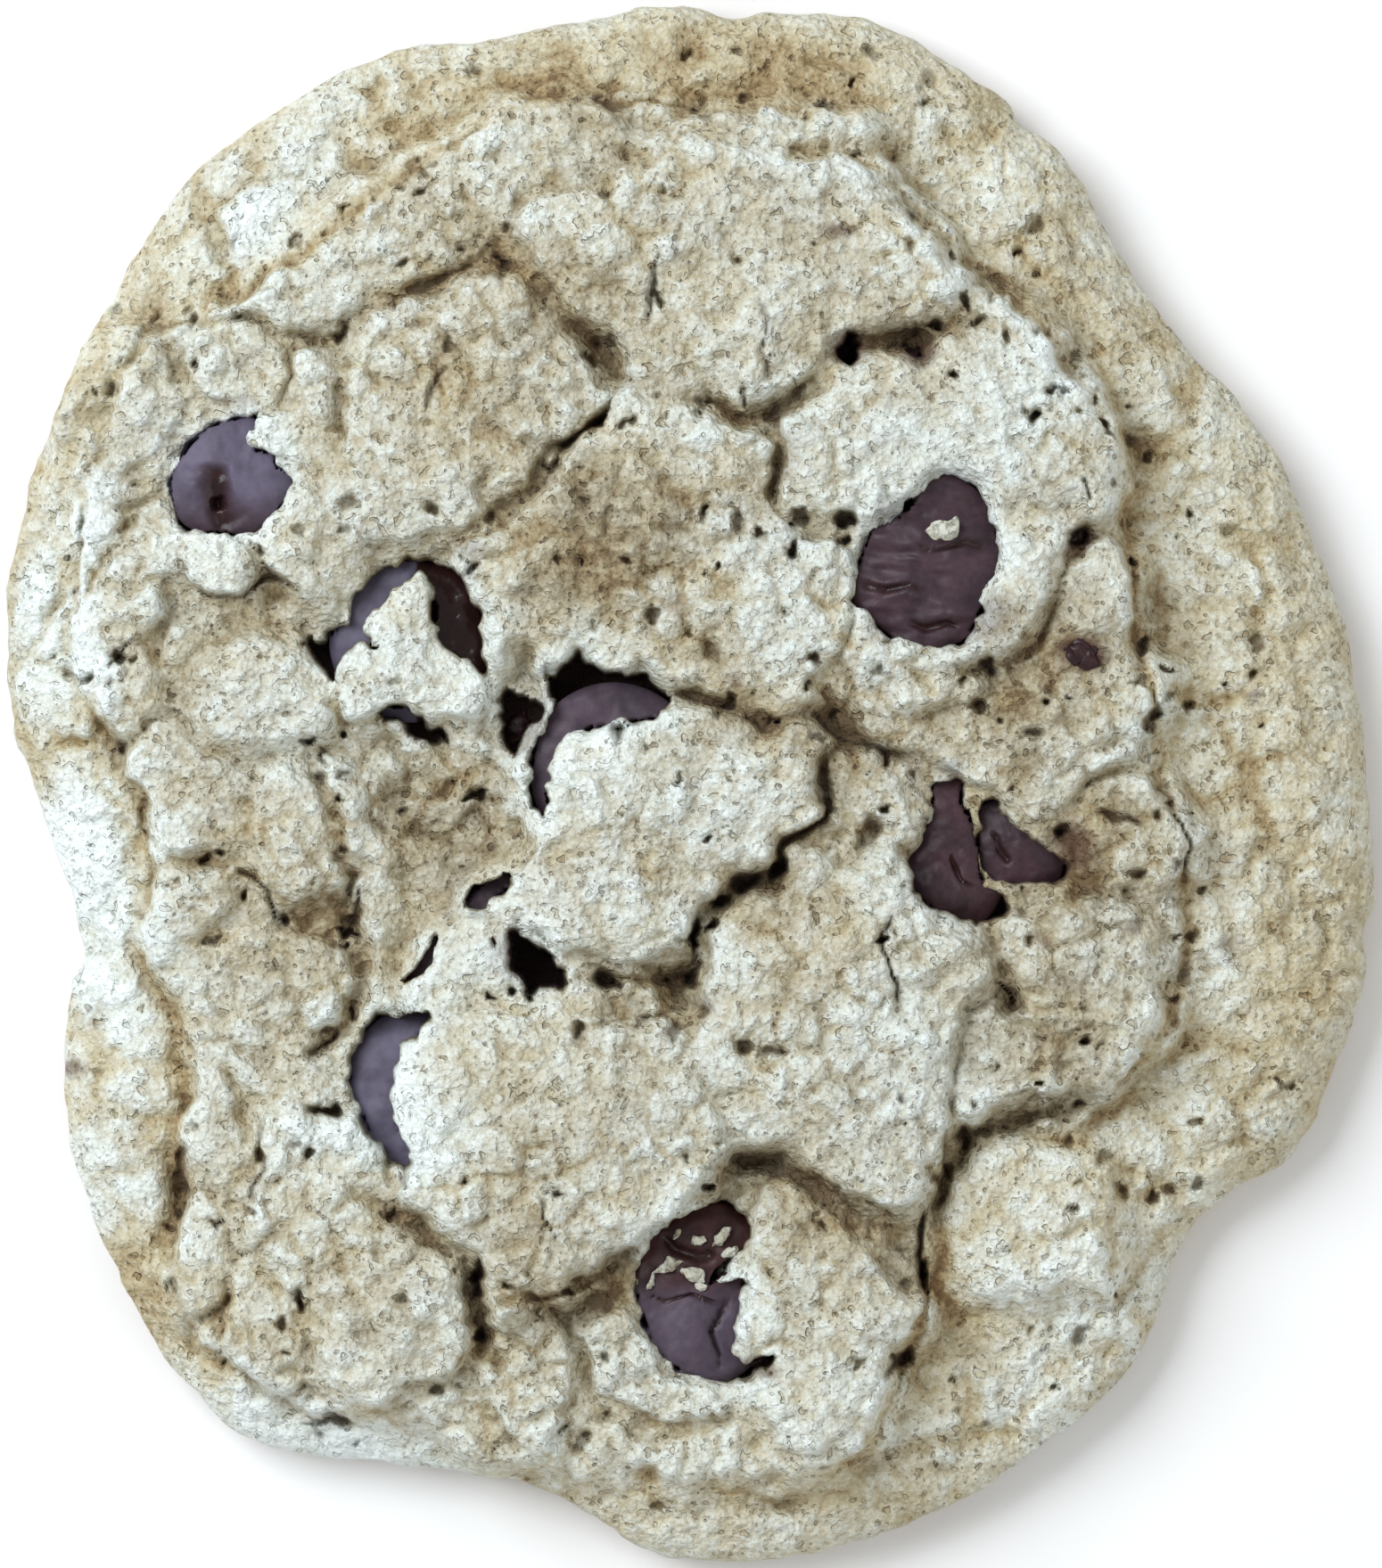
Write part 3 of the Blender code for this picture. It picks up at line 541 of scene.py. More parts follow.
# Soft valleys where two blocks lean on each other, with painted shade along them.
VALLEYS = [
    (1.2, 0.6, [(-12.6, 33.4), (-10.2, 32.0), (-8.0, 30.2), (-6.2, 28.2), (-4.4, 26.2), (-1.4, 24.8)]),
    (0.9, 1.1, [(-1.4, 24.8), (1.0, 24.4), (2.8, 23.8), (4.8, 24.0), (6.4, 24.8), (8.6, 26.4)]),
    (1.2, 1.2, [(8.6, 26.6), (10.6, 28.0), (13.4, 28.2), (16.0, 28.8), (18.6, 29.4), (20.2, 28.2)]),
    (0.8, 1.2, [(-4.4, 25.6), (-6.2, 22.6), (-8.2, 21.0), (-10.2, 18.4), (-12.4, 16.4), (-15.2, 15.0)]),
    (0.7, 0.6, [(5.3, 24.4), (5.6, 21.2), (5.2, 17.6)]),
    (0.8, 0.7, [(-3.0, 7.4), (-0.4, 6.0), (2.4, 5.0), (5.0, 4.2), (8.2, 3.9), (11.0, 2.8), (14.0, 1.4)]),
    (1.0, 0.9, [(8.2, 3.4), (8.8, 0.6), (8.6, -1.8), (6.4, -3.6), (5.2, -5.4), (2.4, -6.8), (0.6, -8.6)]),
    (0.9, 1.0, [(0.6, -8.6), (0.2, -10.6), (-0.4, -12.6), (-3.6, -12.2), (-6.6, -12.8)]),
    (1.0, 0.6, [(-0.4, -23.4), (2.0, -23.6), (5.0, -24.4), (8.0, -25.6), (11.0, -26.8), (14.0, -28.0)]),
    (1.2, 1.3, [(14.2, -28.0), (16.0, -25.6), (17.0, -23.0), (20.0, -21.8), (23.2, -21.2), (26.4, -19.8)]),
    (1.1, 1.3, [(-2.6, -29.4), (-5.4, -31.0), (-8.4, -32.4), (-11.4, -33.0), (-13.4, -32.2)]),
    (1.0, 1.2, [(-13.4, -30.4), (-13.6, -33.0), (-13.2, -36.0), (-11.8, -38.4)]),
    (0.9, 0.9, [(-21.4, -25.6), (-19.0, -27.8), (-16.6, -29.0), (-14.4, -30.6)]),
    (0.9, 0.9, [(-26.0, 28.6), (-22.6, 28.2), (-20.2, 30.4), (-16.4, 32.0), (-12.8, 33.2)]),
    (1.1, 1.0, [(-21.8, -8.6), (-21.0, -11.0), (-21.2, -13.6), (-22.6, -15.6), (-25.2, -17.4)]),
    (0.9, 0.9, [(-25.2, 2.6), (-23.6, 0.4), (-22.4, -2.6), (-21.6, -5.8), (-21.8, -8.6)]),
]
CREASES = [
    (1.0, 0.9, [(26.4, -19.8), (28.8, -17.6), (30.6, -15.2), (31.6, -11.6), (32.0, -7.4), (31.4, -3.0)]),
    (0.9, 0.9, [
        (31.4, -3.0), (30.2, 0.4), (29.4, 4.4), (28.8, 8.8), (28.4, 13.2), (28.0, 17.6), (26.6, 22.4),
    ]),
    (1.0, 0.8, [
        (26.6, 22.4), (25.0, 25.6), (22.4, 29.2), (19.4, 32.0), (16.6, 34.4), (13.6, 37.6), (9.6, 40.8),
    ]),
    (0.9, 1.0, [(14.6, -28.6), (15.2, -32.0), (14.8, -35.2), (13.4, -38.6), (11.8, -41.8), (8.6, -44.4)]),
    (1.0, 0.9, [(-32.4, -15.6), (-32.5, -20.0), (-32.6, -25.0), (-33.0, -29.4), (-32.6, -33.2)]),
    (0.9, 0.8, [(-32.6, -33.2), (-30.6, -36.4), (-27.4, -38.8), (-23.4, -40.8), (-20.0, -40.2)]),
    (0.9, 0.8, [(-33.8, -14.4), (-35.6, -10.2), (-34.6, -5.2), (-35.0, -0.6), (-37.6, 3.4), (-38.8, 8.0)]),
    (0.8, 0.7, [(-38.8, 8.0), (-39.2, 13.4), (-38.6, 19.0), (-36.6, 26.0), (-34.0, 29.0), (-30.2, 29.6)]),
    (0.9, 0.8, [(-30.2, 29.8), (-26.8, 32.6), (-23.0, 35.6), (-17.8, 38.8), (-13.0, 42.0), (-9.0, 43.6)]),
    (0.8, 0.7, [(-9.0, 43.8), (-4.2, 43.4), (0.6, 43.0), (5.4, 43.0), (9.6, 43.0)]),
    (1.6, 0.5, [(-42.4, 19.4), (-41.6, 17.0), (-40.2, 15.6), (-39.8, 17.8), (-40.2, 20.0)]),
    (1.5, 0.5, [(-38.6, 26.8), (-38.2, 24.4), (-39.2, 21.4), (-39.8, 18.6), (-39.6, 15.2), (-37.8, 12.8)]),
    (1.4, 0.5, [(-36.8, 19.4), (-36.2, 17.0), (-36.8, 14.8), (-38.2, 12.8), (-39.4, 10.4), (-39.8, 8.0)]),
    (1.6, 0.6, [(-39.8, 8.0), (-39.2, 5.4), (-38.0, 3.2), (-36.6, 1.0), (-35.2, -1.0), (-34.2, -3.0)]),
    (1.4, 0.5, [(-34.6, -4.4), (-35.0, -6.8), (-35.4, -9.6)]),
    (1.2, 0.4, [(-41.0, 3.2), (-39.4, 2.4), (-38.0, 2.6)]),
    (1.5, 0.4, [(-38.8, -8.4), (-38.0, -10.0), (-36.8, -11.6), (-35.4, -13.0)]),
    (1.4, 0.5, [(-36.0, -10.0), (-34.4, -12.0), (-32.8, -14.2), (-32.6, -16.6)]),
    (1.3, 0.4, [(-38.6, -12.6), (-38.0, -14.6), (-39.4, -16.0)]),
    (1.3, 0.4, [(-37.0, -20.6), (-37.8, -22.2), (-36.0, -23.0), (-33.4, -22.2)]),
    (1.8, 0.6, [(-33.0, -22.0), (-32.8, -25.0), (-33.2, -28.0), (-34.0, -30.4), (-33.8, -33.0)]),
    (1.6, 0.5, [(-37.4, -30.2), (-35.4, -31.0), (-34.0, -32.6), (-32.6, -35.0), (-30.6, -37.0)]),
    (1.5, 0.5, [(-31.0, -39.6), (-30.4, -37.4), (-28.0, -38.4), (-25.4, -39.8), (-22.8, -41.0)]),
    (1.4, 0.5, [(-22.8, -41.0), (-20.6, -40.4), (-18.4, -40.6)]),
    (1.4, 0.4, [(-13.4, -39.2), (-12.6, -41.4), (-12.8, -43.4)]),
    (1.3, 0.4, [(-3.0, -43.4), (-2.2, -45.0), (-1.8, -46.6)]),
    (1.4, 0.5, [(-0.4, -45.0), (2.4, -45.6), (5.0, -45.6), (7.2, -46.6)]),
    (1.6, 0.6, [(6.2, -44.8), (8.6, -44.2), (10.8, -42.8), (12.2, -40.6), (13.2, -38.0), (14.0, -36.0)]),
    (1.4, 0.4, [(17.0, -37.6), (18.0, -39.4), (17.6, -41.2), (19.2, -43.2)]),
    (1.3, 0.4, [(13.0, -43.4), (15.0, -42.6), (17.4, -42.4), (20.2, -42.2), (21.2, -40.2), (23.4, -38.8)]),
    (1.3, 0.4, [(23.0, -38.6), (24.0, -37.0), (25.8, -36.0), (28.6, -36.4)]),
    (1.2, 0.4, [(26.6, -32.0), (27.4, -30.0), (26.8, -28.0), (27.4, -26.0), (26.4, -24.0)]),
    (1.3, 0.4, [(29.0, -27.4), (30.0, -25.8), (31.6, -26.0), (32.4, -25.0)]),
    (1.3, 0.4, [(33.4, -23.4), (35.0, -22.6), (35.6, -20.4), (36.4, -18.8), (38.4, -18.8), (39.6, -20.2)]),
    (1.4, 0.5, [(29.4, -18.0), (31.6, -16.8), (33.6, -16.4), (35.4, -17.0), (37.2, -18.2)]),
    (1.2, 0.3, [(36.0, 5.6), (36.4, 3.2), (36.2, 0.8), (35.0, -1.2), (33.0, -1.6)]),
    (1.2, 0.4, [(30.0, 6.0), (32.4, 5.2), (35.2, 5.6)]),
    (1.2, 0.4, [(36.4, 15.0), (37.0, 13.0), (36.4, 11.0), (35.6, 9.2)]),
    (1.3, 0.4, [(33.6, 16.4), (36.4, 15.4), (38.4, 15.6), (39.4, 13.4), (40.0, 11.4)]),
    (1.4, 0.5, [(29.2, 23.2), (29.4, 21.4), (31.0, 20.6)]),
    (1.3, 0.4, [(30.4, 24.6), (31.6, 25.0), (32.2, 26.8)]),
    (1.4, 0.5, [(18.0, 33.4), (20.2, 31.8), (21.6, 30.4), (23.4, 28.2), (24.4, 26.4), (26.0, 25.0)]),
    (1.3, 0.4, [(21.4, 35.6), (20.8, 34.0), (22.4, 32.6), (23.4, 33.4)]),
    (1.2, 0.4, [(15.0, 42.2), (16.4, 41.4), (18.6, 41.8), (20.6, 42.0)]),
    (1.3, 0.4, [(-0.6, 49.0), (0.2, 47.0), (0.4, 45.4)]),
    (1.4, 0.4, [(-13.6, 45.2), (-10.4, 44.8), (-7.0, 44.6), (-3.4, 44.6)]),
    (1.5, 0.4, [(-19.6, 43.0), (-18.6, 41.6), (-16.4, 41.0)]),
    (1.3, 0.4, [(-22.0, 44.6), (-20.0, 43.6), (-20.4, 45.6)]),
    (1.5, 0.5, [(-31.4, 38.0), (-31.2, 36.4), (-30.0, 35.0), (-28.6, 33.8)]),
    (1.5, 0.5, [(-29.0, 36.0), (-30.4, 34.6), (-29.4, 32.6), (-30.6, 31.0), (-31.6, 29.6)]),
    (1.4, 0.4, [(-37.4, 30.4), (-35.6, 29.6), (-33.4, 29.4)]),
    (1.0, 0.3, [(8.4, 41.0), (7.0, 40.4), (9.4, 40.2)]),
    (1.0, 0.3, [(-4.6, 40.6), (-3.2, 40.2), (-1.8, 40.0)]),
]
# (x, y, length, width, turn in degrees, depth)
HOLES = [
    (-31.6, 26.9, 0.9, 0.4, 80, 0.9), (-22.0, 28.8, 1.0, 0.5, 60, 0.8), (-20.3, 26.0, 1.1, 0.9, 20, 0.4),
    (-15.1, 27.9, 1.2, 0.7, 120, 0.7), (-18.2, 33.3, 0.9, 0.4, 10, 0.7), (-13.9, 45.9, 0.9, 0.7, 0, 0.6),
    (-36.9, 30.5, 0.7, 0.6, 0, 0.5), (-29.2, 34.7, 0.8, 0.5, 90, 0.7), (-0.3, 46.7, 0.9, 0.7, 30, 0.7),
    (2.8, 47.0, 1.1, 0.6, -40, 0.7), (10.2, 44.9, 0.7, 0.5, 90, 0.8), (11.6, 46.8, 1.3, 0.6, -50, 0.6),
    (15.1, 45.1, 1.6, 1.0, 80, 0.4), (15.1, 43.8, 0.7, 0.5, 0, 0.6), (8.7, 43.3, 1.3, 0.5, 0, 0.8),
    (10.7, 40.0, 0.7, 0.5, 40, 0.7), (3.0, 33.1, 0.8, 0.3, 0, 0.7), (-1.9, 30.8, 0.9, 0.7, -50, 1.0),
    (-5.4, 37.6, 1.2, 0.7, -10, 0.8), (-11.5, 35.6, 0.8, 0.5, 40, 0.7), (-12.2, 33.6, 1.0, 0.5, -60, 0.8),
    (14.1, 34.3, 1.4, 0.4, 95, 0.6), (8.1, 34.5, 0.4, 0.3, 0, 0.7), (17.5, 30.6, 1.0, 0.35, 85, 1.0),
    (16.7, 26.1, 0.7, 0.4, -30, 1.2), (21.9, 23.5, 1.3, 0.5, 40, 1.3), (22.9, 25.1, 0.6, 0.5, 0, 1.1),
    (26.4, 22.9, 1.0, 0.4, 110, 1.2), (29.2, 21.2, 0.9, 0.6, 60, 0.8), (28.2, 23.9, 0.7, 0.5, 20, 0.8),
    (21.9, 35.6, 1.3, 0.9, 30, 0.5), (20.9, 34.1, 0.5, 0.4, 0, 0.9), (22.0, 32.7, 0.6, 0.5, 0, 0.6),
    (34.3, 16.4, 1.2, 0.8, 0, 0.5), (32.0, 17.2, 0.5, 0.4, 0, 0.9), (36.0, 9.1, 1.4, 0.6, -50, 0.8),
    (36.1, 7.1, 0.9, 0.7, 50, 0.8), (34.1, 6.2, 0.5, 0.4, 0, 0.9), (31.9, 4.9, 0.9, 0.6, 100, 0.8),
    (29.5, 4.6, 1.6, 0.6, 80, 1.0), (36.9, 3.7, 0.4, 0.4, 0, 0.8), (18.9, 7.5, 1.3, 0.5, -15, 1.2),
    (18.5, 5.2, 1.3, 0.9, -40, 1.0), (7.0, 17.0, 1.1, 0.8, 20, 1.1), (9.8, 16.9, 1.5, 1.5, 0, 1.4),
    (9.9, 15.5, 0.8, 0.7, 0, 1.3), (4.5, 16.2, 0.8, 0.5, -40, 1.0), (2.9, 16.7, 1.0, 0.8, 60, 0.8),
    (1.0, 17.2, 0.7, 0.4, 70, 1.1), (-4.0, 22.9, 0.9, 0.8, 0, 0.9), (6.6, 14.7, 1.3, 0.6, 85, 1.3),
    (1.8, 13.8, 0.8, 0.4, -60, 1.2), (0.8, 13.3, 0.4, 0.3, 0, 0.9), (-3.9, 14.0, 0.5, 0.4, 0, 0.9),
    (-6.7, 14.2, 0.8, 0.4, -60, 0.9), (-13.8, 13.9, 0.9, 0.7, 30, 1.2), (-2.3, 10.7, 1.0, 0.6, 30, 0.8),
    (6.1, 10.9, 0.5, 0.4, 0, 0.8), (8.0, 7.8, 0.6, 0.5, 0, 1.1), (7.3, 6.5, 1.0, 0.4, 60, 1.0),
    (1.4, 8.5, 1.6, 0.9, -40, 0.6), (2.5, 5.7, 0.5, 0.5, 0, 0.9), (5.5, 4.1, 0.5, 0.4, 0, 1.0),
    (-13.8, -0.8, 1.3, 0.7, 25, 1.2), (5.7, -5.4, 1.7, 1.2, 70, 2.0), (3.6, -6.2, 2.4, 1.0, 20, 1.4),
    (1.8, -7.3, 1.3, 0.7, 60, 1.6), (1.6, -9.1, 0.6, 0.5, 0, 1.4), (0.3, -9.6, 1.6, 0.6, 80, 1.4),
    (1.2, -3.5, 0.7, 0.3, 20, 0.9), (-0.7, 0.4, 0.8, 0.3, 80, 0.9), (-4.6, 3.7, 0.6, 0.6, 0, 1.2),
    (-5.4, -12.3, 2.0, 1.4, -10, 1.3), (-4.6, -12.9, 1.0, 0.7, 0, 1.4), (-1.3, -12.5, 0.6, 0.3, -30, 1.0),
    (-0.1, -12.4, 1.0, 0.8, 0, 1.2), (-12.6, -13.4, 0.9, 0.4, -20, 1.3), (-11.4, -13.4, 0.5, 0.5, 0, 1.3),
    (-12.5, -10.1, 0.6, 0.4, 90, 1.2), (-7.0, -15.6, 1.0, 0.5, 85, 0.9), (-2.8, -15.1, 0.9, 0.8, 0, 0.8),
    (-1.0, -16.0, 1.4, 0.8, 60, 0.8), (0.9, -14.4, 0.8, 0.6, 0, 0.7), (3.4, -16.8, 1.4, 0.6, -20, 1.0),
    (5.3, -17.2, 1.7, 0.7, 0, 0.8), (12.3, -9.8, 0.7, 0.6, 0, 1.4), (-36.4, 8.1, 0.9, 0.5, 15, 1.1),
    (-30.8, -4.7, 0.9, 0.7, 20, 0.8), (-29.8, -4.4, 0.8, 0.5, 0, 1.2), (-28.5, -7.1, 0.9, 0.5, 60, 0.9),
    (-26.0, -8.7, 1.0, 0.7, 100, 0.9), (-30.6, -9.9, 0.9, 0.5, -10, 0.7), (-21.7, -9.4, 1.1, 0.5, 0, 1.4),
    (-22.2, -1.1, 0.9, 0.4, -30, 1.0), (-22.0, 3.1, 0.8, 0.6, 60, 1.1), (-24.4, 2.9, 1.3, 0.3, -10, 1.1),
    (-16.3, 17.5, 0.7, 0.6, 0, 0.9), (-22.0, 16.3, 0.9, 0.6, 0, 0.7),
    (-21.5, 17.9, 1.3, 0.8, 20, 0.6), (-27.3, 15.0, 0.8, 0.3, -20, 1.0), (-23.2, -20.8, 2.2, 0.8, -8, 2.0),
    (-25.2, -23.1, 1.1, 0.8, 30, 0.7), (-24.2, -23.7, 0.8, 0.6, 0, 1.0), (-27.4, -23.9, 0.8, 0.7, 90, 1.0),
    (-28.0, -27.2, 0.7, 0.6, 0, 0.8), (-30.3, -28.0, 0.9, 0.3, 0, 0.9), (-26.1, -34.6, 0.8, 0.7, 40, 0.8),
    (-25.4, -36.4, 0.6, 0.5, 0, 0.9), (-24.9, -33.0, 1.4, 0.5, -70, 1.1), (-13.5, -31.7, 2.6, 0.9, 80, 1.6),
    (-13.3, -35.4, 0.9, 0.5, 100, 1.4), (-16.0, -38.9, 1.1, 0.7, -20, 0.8),
    (-22.9, -40.6, 2.4, 0.7, -20, 1.0),
    (-32.5, -24.6, 4.0, 0.8, 92, 0.8), (-8.4, -25.8, 0.6, 0.5, 0, 1.1), (1.3, -25.6, 0.8, 0.6, 30, 1.6),
    (15.0, -31.2, 1.3, 0.5, 80, 1.2), (13.3, -36.9, 2.4, 0.7, 60, 1.2), (-7.0, -42.0, 1.2, 0.7, 60, 0.7),
    (-1.9, -46.3, 0.9, 0.6, 0, 0.6), (10.6, -36.9, 0.7, 0.5, 90, 0.7), (22.1, -18.9, 0.5, 0.4, 60, 1.2),
    (18.0, -20.5, 0.6, 0.5, 0, 0.8), (25.1, -16.2, 0.6, 0.4, -60, 1.2), (24.2, -27.2, 0.7, 0.4, 0, 0.8),
    (29.8, -26.5, 1.0, 0.6, 120, 0.9), (27.6, -25.9, 1.2, 0.7, -30, 0.7), (32.4, -25.7, 1.0, 0.5, 80, 0.7),
    (25.0, -35.4, 1.3, 0.9, 30, 0.6), (27.3, -32.8, 0.8, 0.3, 100, 0.7), (23.5, -38.8, 0.5, 0.4, 0, 0.9),
    (26.5, -23.9, 1.2, 0.7, 50, 0.6), (38.1, -19.3, 0.8, 0.5, 0, 0.7), (24.6, 15.7, 2.0, 0.8, 50, 1.4),
    (28.0, 14.4, 0.7, 0.3, 90, 1.1), (28.9, 9.0, 1.4, 0.4, 85, 1.0), (30.4, 7.3, 0.8, 0.3, -30, 1.0),
    (17.4, 6.5, 0.5, 0.4, 0, 0.7), (22.5, 5.0, 0.4, 0.3, 0, 1.0), (24.1, 5.6, 0.4, 0.4, 0, 0.9),
    (21.8, 3.2, 0.9, 0.4, 20, 0.8), (19.8, 4.1, 0.4, 0.3, 0, 0.9), (23.6, -2.9, 1.0, 0.6, -50, 1.4),
    (28.4, -5.8, 1.0, 0.7, 0, 0.9), (11.4, -3.2, 2.2, 1.4, 70, 0.9), (12.4, -1.6, 0.7, 0.5, 0, 1.2),
    (12.4, 1.4, 1.1, 0.6, 90, 1.2), (-6.5, 27.3, 1.0, 0.6, -50, 1.0), (-5.8, 22.9, 1.0, 0.6, 60, 1.6),
    (14.3, 27.4, 1.1, 0.8, -20, 1.6), (15.7, 29.3, 1.0, 0.5, 0, 1.4), (16.9, -38.0, 0.5, 0.3, 90, 0.6),
    (17.2, -40.2, 1.0, 0.6, -60, 0.5), (19.0, -41.1, 1.0, 0.4, 10, 0.5), (-37.9, -18.4, 0.9, 0.7, 40, 0.3),
]

# %% Moist, toasted and floured zones, and the openings
# Broad darker places, where the dough stayed moist and, along the valleys, painted shade: (x, y, length,
# width, turn, strength)
MOIST_AND_SHADED = [
    (-7.5, 14.5, 18, 14, 20, 0.85), (22.0, 7.0, 17, 13, 0, 0.65), (22.5, -5.0, 18, 14, 0, 0.95),
    (-8.0, -32.0, 15, 10, 10, 0.70), (6.5, -27.0, 17, 10, -18, 0.65), (-15.0, -3.5, 10, 13, 0, 0.55),
    (-9.0, 32.0, 18, 9, -35, 0.40), (13.0, 28.6, 14, 5, 0, 0.45), (8.0, 3.6, 18, 5, -15, 0.60),
    (-23.0, -9.0, 8, 12, 0, 0.35), (24.0, -20.0, 14, 5, 20, 0.40), (-4.0, -12.5, 13, 5, 0, 0.40),
    (-26.0, 12.5, 12, 4, 0, 0.30), (-1.0, 9.0, 12, 5, 0, 0.40), (24.5, 20.0, 9, 9, 0, 0.35),
    (13.0, -8.5, 5, 12, 0, 0.35), (14.0, -33.0, 5, 14, 10, 0.45), (7.0, 14.5, 8, 8, 0, 0.10),
    (22.0, -14.5, 15, 13, 0, 0.55),
    (-7.0, 43.4, 14, 6, 0, 0.70), (4.0, -7.0, 8, 6, 0, 0.50),
]
# Broad places that browned, and pale ones, in the same form
TOASTED = [
    (3.0, 46.0, 40, 8, -4, 0.80), (39.0, 9.0, 26, 9, 100, 0.40), (39.5, -14.0, 26, 10, 80, 0.60),
    (8.0, -45.0, 28, 6, 8, 0.40), (-35.5, -33.0, 12, 8, -50, 0.75), (-28.0, -36.0, 16, 5, -42, 0.60),
    (-9.0, 44.6, 14, 3, 6, 0.80), (18.0, -37.0, 14, 8, 30, 0.40), (27.0, 30.0, 14, 5, -50, 0.45),
    (-37.0, 24.0, 14, 5, 60, 0.30),
]
# The pale zones are white, floury dough, and painted light on the brightly lit left rim.
FLOURED_AND_LIT = [
    (-40.5, 10.0, 22, 9, 85, 1.0), (-39.0, -7.0, 24, 10, 95, 1.0), (-27.5, 36.0, 12, 5, 50, 1.0),
    (-24.0, -42.0, 22, 10, -30, 1.0), (-26.0, 3.0, 12, 10, 0, 0.4), (6.0, 13.0, 12, 10, 0, 0.5),
    (-38.0, -24.0, 18, 8, 80, 0.7), (20.5, 22.0, 12, 12, 0, 0.5),
    (15.0, -17.0, 14, 10, 0, 0.5), (12.0, 38.0, 18, 5, -10, 0.4), (-19.0, -22.0, 14, 9, 0, 0.5),
    (2.0, -1.5, 10, 7, 0, 0.4), (24.0, -36.0, 14, 12, 30, 0.7),
]
